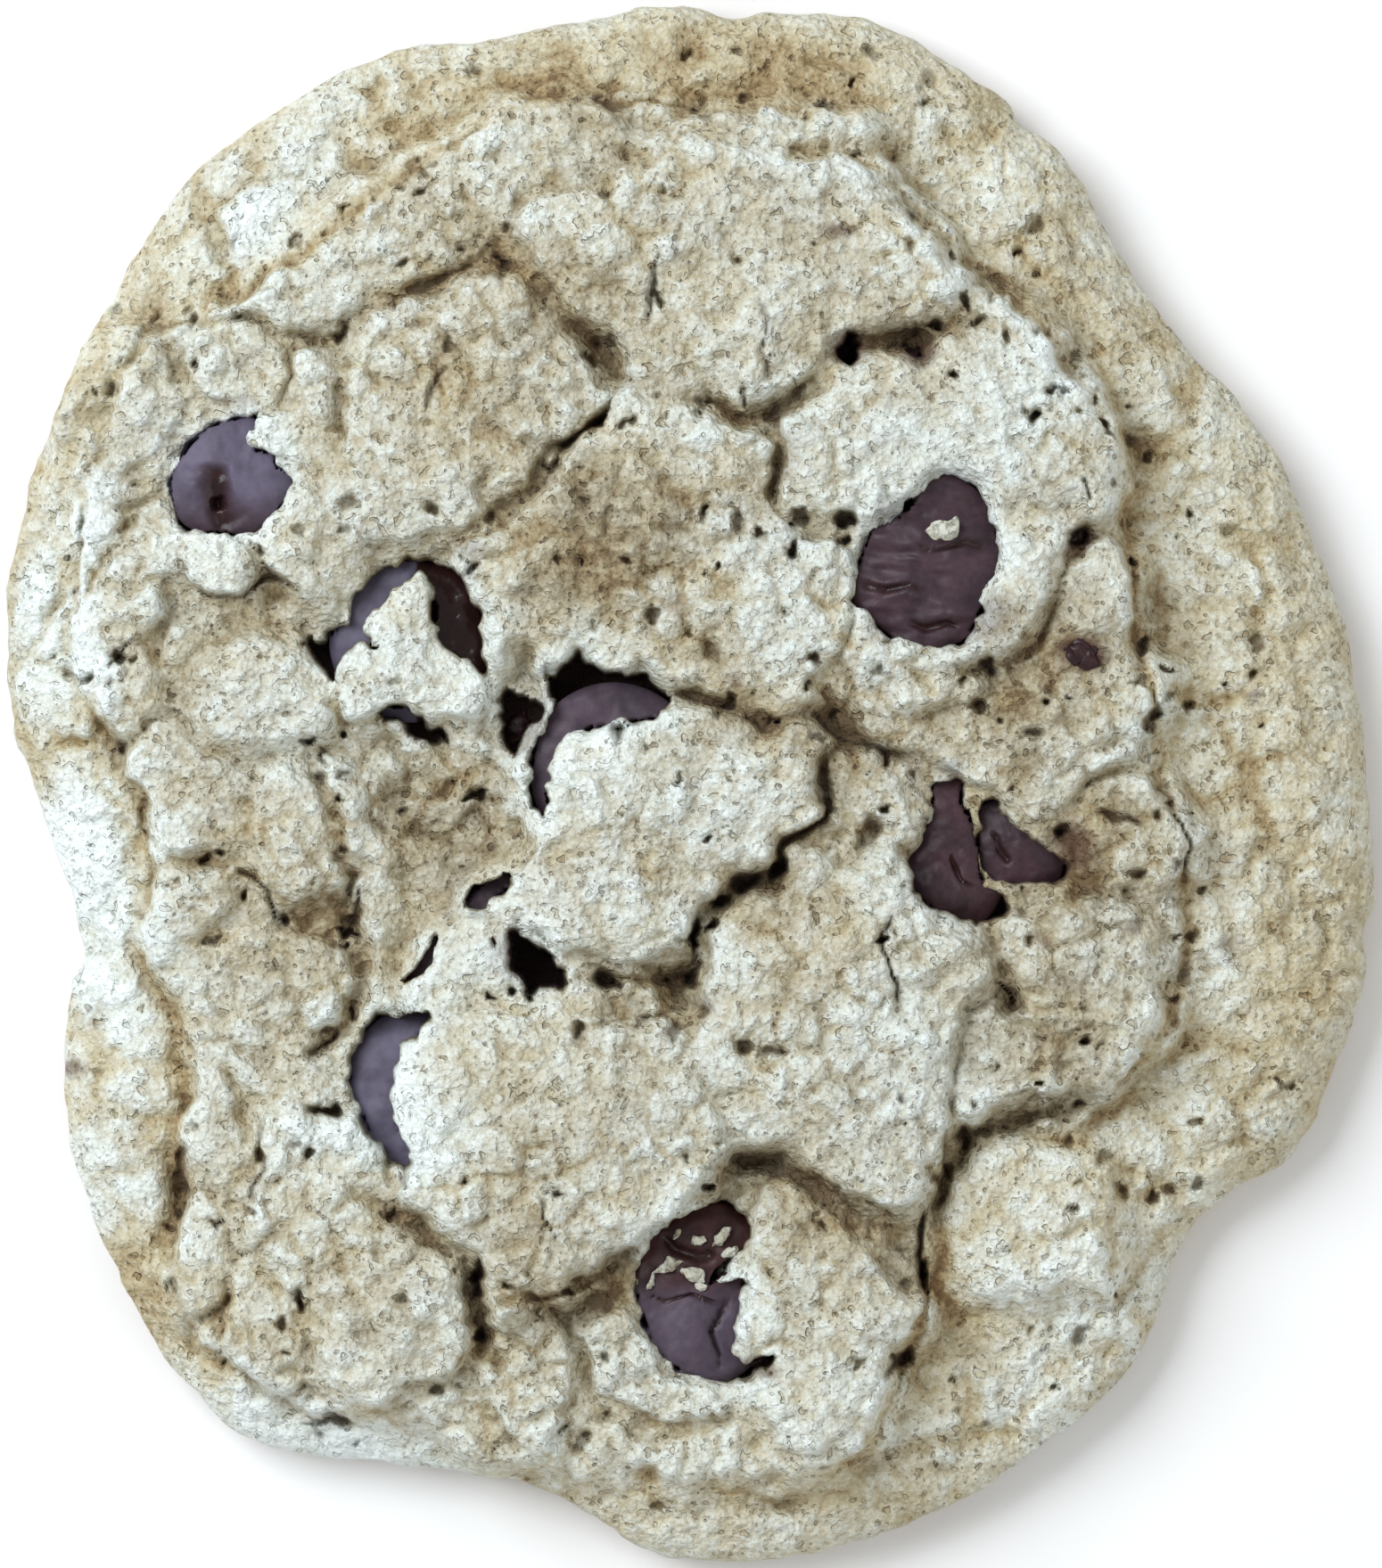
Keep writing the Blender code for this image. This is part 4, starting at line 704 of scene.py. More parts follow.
# Where the chips show: outlines of the openings in the crust.
OPENINGS = {
    "chip_upturned": [
        (-33.1, 19.6), (-32.2, 21.2), (-30.9, 22.6), (-29.5, 23.1), (-27.9, 23.3), (-28.1, 22.2),
        (-27.9, 21.3), (-26.8, 21.0), (-26.6, 20.2), (-25.6, 19.6), (-25.8, 18.5), (-26.7, 17.4),
        (-27.6, 16.2), (-28.6, 15.9), (-29.6, 16.2), (-30.8, 16.2), (-32.2, 16.5), (-32.9, 17.6),
    ],
    "chip_horned": [
        (-24.4, 9.2), (-23.2, 9.4), (-22.0, 10.4), (-21.7, 11.6), (-20.6, 13.0), (-19.4, 13.8),
        (-18.0, 14.2), (-16.3, 14.0), (-15.1, 13.6), (-14.3, 12.6), (-13.6, 11.2), (-13.2, 9.4),
        (-13.0, 6.8), (-14.3, 7.7), (-15.7, 8.3), (-16.2, 9.4), (-16.2, 11.0), (-16.4, 12.4),
        (-17.3, 13.5), (-18.4, 12.8), (-19.5, 11.7), (-20.5, 10.6), (-20.6, 9.6), (-20.0, 8.8),
        (-21.2, 9.0), (-22.3, 7.8), (-22.8, 6.8), (-23.7, 8.0), (-24.7, 8.9),
    ],
    "chip_horned_sliver": [
        (-19.8, 4.5), (-18.4, 4.8), (-17.2, 4.5), (-16.4, 3.6), (-15.3, 2.7), (-16.3, 2.6), (-17.5, 3.1),
        (-18.6, 3.9),
    ],
    "chip_crescent": [
        (-9.2, -2.2), (-10.0, -0.8), (-10.0, 0.9), (-9.7, 2.4), (-9.0, 4.0), (-8.5, 5.2), (-8.9, 6.2),
        (-9.4, 6.9), (-8.3, 7.3), (-7.6, 7.7), (-7.3, 8.4), (-6.4, 7.7), (-5.0, 7.2), (-3.6, 6.9),
        (-2.6, 6.8), (-2.0, 5.8), (-1.2, 5.0), (-2.4, 4.3), (-4.0, 4.1), (-5.0, 4.0), (-6.0, 3.8),
        (-7.2, 3.4), (-8.1, 2.9), (-8.7, 1.8), (-8.9, 0.4), (-9.3, -0.8),
    ],
    "chip_smeared": [
        (11.8, 16.2), (13.0, 16.7), (14.2, 17.7), (15.0, 19.0), (16.3, 19.7), (17.8, 19.4), (18.6, 18.4),
        (19.2, 17.0), (19.5, 15.2), (19.4, 13.6), (18.7, 12.2), (18.3, 10.8), (17.5, 9.3), (15.9, 8.8),
        (14.0, 9.1), (12.5, 9.8), (11.3, 10.8), (10.3, 12.0), (10.8, 13.6), (11.3, 15.0),
    ],
    "chip_split_left": [
        (15.7, 0.0), (17.3, 0.3), (17.2, -1.2), (17.9, -2.5), (18.4, -4.3), (18.6, -6.3), (19.7, -7.1),
        (20.1, -8.1), (18.3, -8.9), (16.7, -8.5), (15.1, -7.5), (14.0, -6.1), (14.2, -4.3),
        (15.3, -2.7), (15.7, -1.2),
    ],
    "chip_split_right": [
        (18.7, -1.6), (19.7, -1.2), (20.3, -2.4), (21.7, -3.3), (23.1, -4.3), (23.9, -5.1), (23.5, -6.3),
        (21.9, -6.5), (20.3, -6.3), (19.1, -6.1), (18.7, -4.7), (18.6, -3.1),
    ],
    "chip_bluish": [
        (-21.2, -16.4), (-20.7, -15.2), (-19.6, -14.7), (-18.0, -14.8), (-16.6, -14.9), (-17.4, -15.8),
        (-18.2, -16.8), (-18.9, -18.3), (-19.0, -20.2), (-18.8, -22.0), (-18.1, -23.2), (-17.7, -24.7),
        (-18.8, -24.4), (-19.8, -23.2), (-20.8, -21.5), (-21.4, -20.0), (-21.7, -18.2),
    ],
    "chip_cracked": [
        (-3.1, -30.4), (-2.5, -29.2), (-1.2, -28.0), (0.4, -27.2), (2.2, -26.9), (3.4, -27.7),
        (3.9, -28.9), (3.0, -29.8), (2.2, -30.6), (1.3, -31.4), (1.3, -32.2), (2.4, -31.8), (3.4, -31.6),
        (3.0, -32.6), (3.3, -33.6), (2.9, -35.0), (2.8, -36.6), (3.9, -37.0), (5.3, -36.5), (5.2, -37.4),
        (4.0, -37.8), (2.8, -38.2), (1.2, -38.0), (-0.4, -37.6), (-1.8, -36.5), (-2.6, -35.0),
        (-3.2, -33.0), (-3.3, -31.6),
    ],
    "chip_under_flap": [
        (-14.2, -7.6), (-13.5, -6.7), (-12.4, -6.0), (-11.1, -5.9), (-11.8, -6.7), (-12.7, -7.3),
        (-13.4, -8.1),
    ],
    "chip_under_flap_west": [
        (-16.3, -9.9), (-17.0, -10.8), (-17.6, -11.9), (-18.2, -12.9), (-17.4, -12.5), (-16.6, -11.9),
        (-16.4, -10.8),
    ],
    "hollow_porous": [
        (-11.3, -9.4), (-10.4, -10.0), (-9.2, -10.3), (-8.3, -11.1), (-7.7, -12.0), (-8.2, -12.9),
        (-9.3, -13.0), (-10.2, -13.6), (-10.5, -12.6), (-11.3, -11.6), (-11.2, -10.4),
    ],
    "hollow_by_crescent": [
        (-11.9, 6.0), (-10.6, 5.4), (-9.5, 5.0), (-9.9, 4.0), (-10.6, 2.8), (-11.0, 1.6), (-11.8, 2.6),
        (-12.2, 4.2),
    ],
    "hollow_in_band": [
        (9.4, 27.6), (9.6, 28.4), (10.2, 28.7), (10.9, 28.2), (10.8, 27.4), (10.2, 26.9),
    ],
}
print(len(CRACKS) + len(VALLEYS), "cracks and valleys,", len(CREASES), "creases")
print(len(HOLES), "holes,", len(OPENINGS), "openings")

# %% Stains
# Where melted chocolate has soaked in: (x, y, length, width, turn in degrees, strength)
STAINS = [
    (25.0, 8.3, 3.0, 1.9, -30, 1.0), (27.9, -9.2, 1.2, 0.7, 20, 0.6), (22.4, -9.8, 1.0, 0.6, 0, 0.5),
    (34.8, -10.1, 1.6, 1.2, 0, 0.4), (35.9, 5.5, 1.0, 0.6, 0, 0.6), (9.5, 35.2, 2.0, 0.8, 5, 0.7),
    (-39.4, -18.1, 0.9, 0.7, 0, 0.7), (0.9, -13.9, 1.2, 0.8, 0, 0.4), (3.0, 6.7, 0.9, 0.6, 0, 0.6),
    (-1.0, 11.5, 1.4, 1.0, 0, 0.25), (19.0, 10.4, 4.2, 2.4, 35, 0.45), (11.6, 10.0, 3.0, 1.6, -45, 0.3),
    (24.8, -4.2, 3.4, 3.0, 0, 0.7), (14.2, -6.6, 2.6, 2.0, 60, 0.35), (16.4, 1.0, 1.6, 1.2, 0, 0.4),
    (10.2, 27.8, 2.6, 2.2, 0, 0.7), (14.3, 27.4, 1.8, 1.4, 0, 0.7), (24.7, 15.6, 2.4, 1.2, 50, 0.8),
    (-10.6, 4.0, 4.6, 2.2, 60, 0.5), (2.4, -29.8, 2.4, 1.6, 40, 0.4), (4.6, -37.2, 2.2, 1.2, 0, 0.6),
    (-28.9, 24.0, 3.0, 0.8, 5, 0.3), (-13.8, 15.0, 3.4, 1.0, -15, 0.35), (13.0, 17.6, 3.0, 1.2, 30, 0.35),
    (-17.0, 3.6, 2.6, 0.9, -10, 0.6), (-11.0, -11.0, 4.4, 3.4, -45, 0.4), (6.2, 21.0, 1.0, 5.0, 0, 0.2),
]
print(len(STAINS), "stains")

# %% [markdown]
# ## The relief
# Three heights make the crust. The rim was dough that spread and set first: it rolls over at the edge
# and carries low islands with creases between them. The middle kept rising, so it stands a step
# higher. Its skin set and then broke into blocks, whose edges are steep and torn. Every outline is
# looked up at places shifted by small hills, which is what makes the breaks ragged.

# %% Rim, step and blocks
EDGE_HEIGHT = 2.4
RIM_HEIGHT = 6.3
RIM_ROLL = 6.0
FLOOR_HEIGHT = 7.8
STEP_WIDTH = 1.6
APRON = 2.0  # how far the dough slopes down round a block
BREAK = 1.7  # the most that a block's broken edge falls
CROWN_REACH = 3.0  # how far inside a block its crown comes up


def rim_and_floor(x, y, wx, wy):
    """The low rim, with the floor of the raised middle inside the step, and how golden it is."""
    inside = np.maximum(depth_inside(OUTLINE, x, y), 0.0)
    roll = np.clip(inside / RIM_ROLL, 0.0, 1.0)
    rim = EDGE_HEIGHT + (RIM_HEIGHT - EDGE_HEIGHT) * np.sqrt(1 - (1 - roll) ** 2)
    border, own = cells(wx + 0.9 * hills(x, y, 3.1, 34), wy + 0.9 * hills(x, y, 3.1, 35), 5.2, 31)
    island = smooth(border / 2.0)
    soft = smooth(inside / 3.0)
    rim = rim + soft * (0.30 * rough(x, y, 8.0, 21) + 0.38 * island - 0.30 + 0.30 * (own - 0.5))
    stepped = smooth(depth_inside(STEP, wx, wy) / STEP_WIDTH + 0.5)
    floor = FLOOR_HEIGHT + 0.40 * rough(wx, wy, 3.0, 41)
    golden = 0.75 * (1 - island) * smooth(0.45 + 0.7 * hills(x, y, 7.0, 33)) * (1 - 0.7 * stepped)
    return rim + (floor - rim) * stepped, golden, stepped, inside


def raise_blocks(height, x, y, wx, wy):
    """Lifts each block of the broken middle."""
    for index, (shoulder, crown, edge, outline) in enumerate(BLOCKS.values()):
        spot = near(outline, APRON + 0.5, x, y)
        depth = depth_inside(outline, wx[spot], wy[spot])
        top = shoulder + crown * (1 - np.exp(-np.maximum(depth, 0.0) / CROWN_REACH))
        top = top + 0.34 * rough(x[spot], y[spot], 5.0, 51 + index)
        fall = BREAK * np.clip(0.50 + 0.60 * hills(x[spot], y[spot], 4.5, 91), 0.08, 1.0)
        here = height[spot]
        slope = here + (top - fall - here) * smooth(depth / APRON + 1.0)
        raised = slope + (top - slope) * smooth(depth / edge + 0.4)
        height[spot] = np.maximum(here, raised)


# %% [markdown]
# Cracks, holes and openings are cut into that. Each cut also leaves a mark that the finish reads:
# creases stay golden, because they were the thin places that browned, and cracks, deep pits and
# openings get painted shade that makes them look almost black.

# %% Cuts
PORES = 250
PORE_SPACING = 1.8  # along a valley
STEP_CREASES = 10  # the first creases follow the step
OPEN_FLOOR = 5.2  # the level under an opening


def pores():
    """Seeded pinholes, more of them towards the middle and the right."""
    random = np.random.default_rng(77)
    x, y, size, turn, chance = random.uniform(size=(5, PORES * 3))
    x = (x - 0.5) * 84
    y = (y - 0.5) * 96
    crowded = np.exp(-((x - 8) ** 2 + y ** 2) / 900) * 0.5 + 0.12
    keep = (chance < crowded) & (depth_inside(OUTLINE, x, y) > 2.5)
    length = 0.25 + 0.60 * size ** 3
    found = [
        (a, b, c, 0.7 * c, 180 * d, 0.2 + 0.7 * c)
        for a, b, c, d in zip(x[keep], y[keep], length[keep], turn[keep])
    ]
    for _width, _depth, line in VALLEYS + CREASES[:STEP_CREASES]:
        for (x0, y0), (x1, y1) in zip(line, line[1:]):
            away = math.hypot(x1 - x0, y1 - y0)
            for share in random.uniform(size=random.poisson(away / PORE_SPACING)):
                a = x0 + share * (x1 - x0) + random.normal(scale=0.6)
                b = y0 + share * (y1 - y0) + random.normal(scale=0.6)
                c = random.uniform(0.3, 0.9)
                found.append((a, b, c, 0.55 * c, random.uniform(0, 180), 0.9 * c))
    return found


PINHOLES = pores()


def oval(x, y, place_x, place_y, length, width, turn):
    """How far each place is from the middle of an oval, where 1 is its edge."""
    c = math.cos(math.radians(turn))
    s = math.sin(math.radians(turn))
    along = ((x - place_x) * c + (y - place_y) * s) / (length / 2)
    across = ((y - place_y) * c - (x - place_x) * s) / (width / 2)
    return np.hypot(along, across)


def cut_lines(height, mark, lines, x, y, wx, wy, strength=1.0):
    """Cuts tapering grooves along lines and adds to a mark."""
    for width, depth, line in lines:
        spot = near(line, width + 1.0, x, y)
        away, share = distance_to_line(line, wx[spot], wy[spot])
        taper = smooth(np.minimum(share, 1 - share) * 5 + 0.15)
        torn = np.clip(0.9 + 0.7 * hills(x[spot], y[spot], 1.5, 97), 0.3, 1.6)
        cut = taper * (1 - smooth(away / (width * torn)))
        height[spot] -= depth * cut
        mark[spot] = np.maximum(mark[spot], strength * cut)


def cut_holes(height, pit, x, y):
    """Sinks ragged pits, with painted shade where they are deep."""
    fx = x + 0.32 * rough(x, y, 0.8, 61, 2)
    fy = y + 0.32 * rough(x, y, 0.8, 64, 2)
    for place_x, place_y, length, width, turn, depth in HOLES + PINHOLES:
        spot = near([(place_x, place_y)], length * 0.8 + 0.4, x, y)
        away = oval(fx[spot], fy[spot], place_x, place_y, length + 0.15, width + 0.15, turn)
        height[spot] -= depth * (1 - smooth((away - 0.45) / 0.75))
        dark = (1 - smooth((away - 0.6) / 0.4)) * min(0.85, 0.05 + depth * 0.55)
        pit[spot] = np.maximum(pit[spot], dark)


def open_windows(height, pit, x, y):
    """Opens the crust down to the level of each chip, with painted shade in the opening."""
    fx = x + 0.34 * rough(x, y, 0.9, 63, 2)
    fy = y + 0.34 * rough(x, y, 0.9, 66, 2)
    for outline in OPENINGS.values():
        spot = near(outline, 1.0, x, y)
        share = smooth(depth_inside(outline, fx[spot], fy[spot]) / 0.40 + 0.45)
        height[spot] += (np.minimum(height[spot], OPEN_FLOOR) - height[spot]) * share
        pit[spot] = np.maximum(pit[spot], share)


def crust_relief(x, y):
    """The height of the crust over each place, in millimetres, and its marks."""
    wx = x + 0.42 * hills(x, y, 2.2, 11) + 0.18 * hills(x, y, 0.8, 12)
    wy = y + 0.42 * hills(x, y, 2.2, 13) + 0.18 * hills(x, y, 0.8, 14)
    height, golden, stepped, inside = rim_and_floor(x, y, wx, wy)
    raise_blocks(height, x, y, wx, wy)
    pit = np.zeros(x.shape)
    stain = np.zeros(x.shape)
    border, own = cells(wx, wy, 2.6, 36)
    lump = smooth(border / 0.9)
    crumbly = 0.6 + 0.4 * stepped
    height += crumbly * (0.34 * (lump - 0.5) + 0.30 * (own - 0.5)) * smooth(0.6 + hills(x, y, 6.0, 38))
    for size, relief in ((2.4, 0.50), (1.25, 0.42), (0.65, 0.26)):
        height += crumbly * relief * (np.abs(hills(wx, wy, size, 71 + round(size))) - 0.35)
    golden = np.maximum(golden, 0.40 * (1 - lump) * smooth(0.3 + hills(x, y, 5.0, 39)))
    shade = np.zeros(x.shape)
    cut_lines(height, golden, CREASES, x, y, wx, wy, 0.6)
    # Painted shade along the valleys.
    cut_lines(height, shade, VALLEYS, x, y, wx, wy, 0.35)
    floured = np.zeros(x.shape)
    for mark, zones in ((shade, MOIST_AND_SHADED), (golden, TOASTED), (floured, FLOURED_AND_LIT)):
        for place_x, place_y, length, width, turn, strength in zones:
            spot = near([(place_x, place_y)], length * 0.7, x, y)
            away = oval(wx[spot], wy[spot], place_x, place_y, length, width, turn)
            away += 0.35 * hills(x[spot], y[spot], 3.0, 91)
            mark[spot] = np.maximum(mark[spot], strength * (1 - smooth((away - 0.25) / 0.95)))
    # Painted shade in the cracks.
    cut_lines(height, pit, CRACKS, x, y, wx, wy, 0.5)
    cut_holes(height, pit, x, y)
    open_windows(height, pit, x, y)
    for place_x, place_y, length, width, turn, strength in STAINS:
        spot = near([(place_x, place_y)], length + 1.0, x, y)
        away = oval(wx[spot], wy[spot], place_x, place_y, length + 0.6, width + 0.6, turn)
        stain[spot] = np.maximum(stain[spot], strength * (1 - smooth((away - 0.4) / 0.8)))
    marks = {"golden": golden, "pit": pit, "stain": stain, "stepped": stepped, "shade": shade,
             "floured": floured, "inside": inside}
    return height, marks


print(len(PINHOLES), "pinholes beside the named ones")

# %% [markdown]
# ## The crust
# A baker spreads a ball of dough into a round. The mesh is made the same way: a fine flat grid, whose
# square rings are rounded off to the outline and then lifted to the relief. Its border is extruded
# down and inwards for the rounded lower edge, and then in rings to the middle for the flat underside.

# %% Round a grid off to the outline
CELLS_ACROSS = 440
MOST_TRIANGLES = 188000
NOTCH = 0.45  # how deep the border's crumbly notches are


def outline_reach(angle):
    """How far the outline is from the middle at each angle."""
    curve = closed_curve(OUTLINE)
    angles = np.arctan2(curve[:, 1], curve[:, 0])
    order = np.argsort(angles)
    return np.interp(angle, angles[order], np.hypot(*curve.T)[order], period=2 * math.pi)


def round_off(sheet):
    """(share of the way out, angle) of each point of a sheet whose corners are pulled in to a disc."""
    u, v = sheet.T
    across = u * np.sqrt(1 - v ** 2 / 2)
    along = v * np.sqrt(1 - u ** 2 / 2)
    return np.hypot(across, along), np.arctan2(along, across)


def places_of(mesh):
    """The vertices' places as an array, in the mesh's own units."""
    places = np.empty(len(mesh.vertices) * 3)
    mesh.vertices.foreach_get("co", places)
    return places.reshape(-1, 3)


def move_vertices(mesh, places):
    mesh.vertices.foreach_set("co", np.ascontiguousarray(places).ravel())
    mesh.update()


bpy.ops.object.select_all(action="DESELECT")
bpy.ops.mesh.primitive_grid_add(x_subdivisions=CELLS_ACROSS, y_subdivisions=CELLS_ACROSS, size=2.0)
crust = bpy.context.object
crust.name = "crust"
sheet = places_of(crust.data)[:, :2]
ring, angle = round_off(sheet)
reach = ring * outline_reach(angle)
notch = 0.5 + 0.5 * rough(reach * np.cos(angle), reach * np.sin(angle), 2.4, 15)
reach = reach - NOTCH * np.clip(notch, 0.0, 1.2) * ring ** 4
x = reach * np.cos(angle)
y = reach * np.sin(angle)
height, marks = crust_relief(x, y)
middle = Vector(((min(x) + max(x)) / 2, (min(y) + max(y)) / 2, 0.0))
print("relief from", round(height.min(), 2), "to", round(height.max(), 2), "mm")

# %% [markdown]
# The finish needs to know what is hollow and what stands proud: flour and sugar whiten the crests,
# while creases stay brown. The difference between the height and its local average tells this. The
# same marks also paint shade into the hollows and light onto the crests.

# %% Marks for the finish
def blur(field, reach):
    """Averages a square field over a box, twice."""
    width = 2 * reach + 1
    for axis in (0, 1, 0, 1):
        turned = np.swapaxes(field, 0, axis)
        total = np.pad(turned, [(reach + 1, reach), (0, 0)], mode="edge").cumsum(axis=0)
        field = np.swapaxes((total[width:] - total[:-width]) / width, 0, axis)
    return field


FADE_IN = 4.0  # how far from the border the marks reach their full strength

from_border = smooth(marks.pop("inside") / FADE_IN)
cell_mm = 90.0 / CELLS_ACROSS
column = np.rint((sheet[:, 0] + 1) / 2 * CELLS_ACROSS).astype(int)
row = np.rint((sheet[:, 1] + 1) / 2 * CELLS_ACROSS).astype(int)
field = np.zeros((CELLS_ACROSS + 1, CELLS_ACROSS + 1))
field[row, column] = height
# close and wide lighten crests and darken hollows in the finish: painted light and painted shade, beside
# the crust's own paler crests.
for name, size in (("close", 0.8), ("wide", 3.2)):
    difference = field - blur(field, max(1, round(size / cell_mm)))
    marks[name] = np.tanh(difference[row, column] * 1.2 / size) * from_border
height = np.clip(height, 1.0, crust_high.z / MM)
height = np.where(ring > 0.9999, EDGE_HEIGHT, height)
places = np.stack([x - middle.x, y - middle.y, height], axis=1) * MM
move_vertices(crust.data, places)
for name, values in marks.items():
    mark = crust.data.attributes.new(name, "FLOAT", "POINT")
    mark.data.foreach_set("value", values.astype(np.float32))
print("marks:", ", ".join(marks))

# %% The lower edge and the underside
# (scale of the ring before it, height)
LOWER_RINGS = [(0.9985, 1.9), (0.9965, 1.3), (0.993, 0.7), (0.988, 0.25), (0.982, 0.0)]
UNDER_RINGS = [0.92, 0.90, 0.88, 0.86, 0.84, 0.80, 0.75, 0.66, 0.5]
bpy.ops.object.mode_set(mode="EDIT")
bpy.ops.mesh.select_all(action="DESELECT")
bpy.ops.mesh.select_mode(type="EDGE")
bpy.ops.mesh.select_non_manifold()
previous = EDGE_HEIGHT
for scale, level in LOWER_RINGS + [(scale, 0.0) for scale in UNDER_RINGS]:
    bpy.ops.mesh.extrude_region_move(
        TRANSFORM_OT_translate={"value": (0, 0, (level - previous) * MM)})
    bpy.ops.transform.resize(value=(scale, scale, 1.0), center_override=(0, 0, 0))
    previous = level
bpy.ops.mesh.merge(type="CENTER")
bpy.ops.mesh.select_all(action="SELECT")
bpy.ops.mesh.normals_make_consistent(inside=False)
bpy.ops.object.mode_set(mode="OBJECT")
print("crust:", len(crust.data.polygons), "faces")

# %% [markdown]
# The underside baked against a tray, so it is flat with faint hollows where bubbles were trapped.
# A sheet this fine holds more faces than its flat places need, so a Decimate modifier thins them out.

# %% Hollows underneath, and fewer faces
HOLLOW_DEPTH = 0.35
SIDE_NOTCH = 0.012  # as a share of the distance from the middle

places = places_of(crust.data)
x, y, z = places.T / MM
flat = smooth((depth_inside(OUTLINE, x + middle.x, y + middle.y) - 2.0) / 3.0) * (z < 0.01)
hollow = np.clip(0.5 + 0.7 * rough(x, y, 5.0, 81), 0.0, 1.0)
places[:, 2] += HOLLOW_DEPTH * MM * hollow * flat
side = smooth((2.38 - z) / 0.5) * (z > -0.1)
places[:, :2] *= (1 - SIDE_NOTCH * side * np.clip(0.5 + 0.5 * rough(x, y + 2 * z, 1.8, 82), 0, 1))[:, None]
places[:, 2] = np.maximum(places[:, 2], 0.0)
move_vertices(crust.data, places)
under = crust.data.attributes.new("under", "FLOAT", "POINT")
under.data.foreach_set("value", smooth((1.9 - z) / 1.6).astype(np.float32) * (z < 2.0))

triangles = sum(len(face.vertices) - 2 for face in crust.data.polygons)
bpy.context.view_layer.objects.active = crust
thin = crust.modifiers.new("thin out", "DECIMATE")
thin.ratio = min(1.0, MOST_TRIANGLES / triangles)
bpy.ops.object.modifier_apply(modifier=thin.name)
places = places_of(crust.data)
for axis in (0, 1):
    places[:, axis] *= (crust_high[axis] - crust_low[axis]) / np.ptp(places[:, axis])
    places[:, axis] += crust_low[axis] - places[:, axis].min()
places[:, 2] = np.clip(places[:, 2], crust_low.z, crust_high.z)
move_vertices(crust.data, places)
crust.data.shade_smooth()
triangles = sum(len(face.vertices) - 2 for face in crust.data.polygons)
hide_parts("dough")
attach(crust, "root")
print("crust:", triangles, "triangles")

# %% [markdown]
# ## Tools for the finishes
# A material is a small program of nodes. `Wire` wraps the output of a node, so that shader maths can
# be written as plain arithmetic, and its `node` method adds any other node and plugs its inputs in.

# %% Shader maths
class Wire:
    """The output of a shader node, with arithmetic."""

    def __init__(self, tree, socket=None):
        self.tree = tree
        self.socket = socket

    def node(self, kind, settings=None, inputs=None, output=0):
        made = self.tree.nodes.new(kind)
        for key, value in (settings or {}).items():
            if key == "stops":
                ramp = made.color_ramp.elements
                while len(ramp) < len(value):
                    ramp.new(0.5)
                for stop, (place, colour) in zip(ramp, value):
                    stop.position = place
                    stop.color = colour
            else:
                setattr(made, key, value)
        for key, value in (inputs or {}).items():
            if isinstance(value, Wire):
                self.tree.links.new(value.socket, made.inputs[key])
            else:
                made.inputs[key].default_value = value
        return Wire(self.tree, made.outputs[output])

    def math(self, operation, first, second=0.0, third=0.0):
        inputs = {0: first, 1: second, 2: third}
        return self.node("ShaderNodeMath", {"operation": operation}, inputs)

    def __add__(self, other):
        return self.math("ADD", self, other)

    def __radd__(self, other):
        return self.math("ADD", other, self)

    def __sub__(self, other):
        return self.math("SUBTRACT", self, other)

    def __rsub__(self, other):
        return self.math("SUBTRACT", other, self)

    def __mul__(self, other):
        return self.math("MULTIPLY", self, other)

    def __rmul__(self, other):
        return self.math("MULTIPLY", other, self)

    def __truediv__(self, other):
        return self.math("DIVIDE", self, other)

    def other(self, output):
        """Another output of the same node."""
        return Wire(self.tree, self.socket.node.outputs[output])

    def held(self):
        """Kept from 0 to 1."""
        return self.node("ShaderNodeClamp", None, {"Value": self})

    def eased(self, low, high):
        """0 below `low`, 1 above `high`, and smooth between."""
        settings = {"interpolation_type": "SMOOTHSTEP"}
        return self.node("ShaderNodeMapRange", settings, {"Value": self, "From Min": low, "From Max": high})


def srgb(red, green, blue):
    """A colour given as a screen shows it, from 0 to 255, in the linear form that nodes take."""
    channels = [channel / 255 for channel in (red, green, blue)]
    linear = [c / 12.92 if c <= 0.04045 else ((c + 0.055) / 1.055) ** 2.4 for c in channels]
    return (*linear, 1.0)


def mark_of(wire, name):
    """The value of a mark stored on the mesh."""
    return wire.node("ShaderNodeAttribute", {"attribute_name": name}, output="Fac")


def noise(wire, size_mm, detail=3.0, roughness=0.55, stretch=None):
    """Noise from 0 to 1 about `size_mm` across, fixed to the object."""
    place = wire.node("ShaderNodeTexCoord", output="Object")
    if stretch:
        place = wire.node("ShaderNodeMapping", None, {"Vector": place, "Scale": stretch})
    inputs = {"Vector": place, "Scale": 1 / (size_mm * MM), "Detail": detail, "Roughness": roughness}
    return wire.node("ShaderNodeTexNoise", None, inputs)


def blend(wire, share, first, second, blend_type="MIX"):
    """Mixes two colours."""
    settings = {"data_type": "RGBA", "blend_type": blend_type}
    mix = wire.node("ShaderNodeMix", settings, None)
    node = mix.socket.node
    for socket, value in ((node.inputs[0], share), (node.inputs[6], first), (node.inputs[7], second)):
        if isinstance(value, Wire):
            wire.tree.links.new(value.socket, socket)
        else:
            socket.default_value = value
    return Wire(wire.tree, node.outputs[2])


def new_material(name):
    material = bpy.data.materials.new(name)
    material.use_nodes = True
    material.node_tree.nodes.clear()
    return material, Wire(material.node_tree)


def surface(wire, **inputs):
    """The shader at the end of a material."""
    inputs = {key.replace("_", " "): value for key, value in inputs.items()}
    shader = wire.node("ShaderNodeBsdfPrincipled", None, inputs)
    end = wire.tree.nodes.new("ShaderNodeOutputMaterial")
    wire.tree.links.new(shader.socket, end.inputs["Surface"])


print("the finishes' tools are ready")
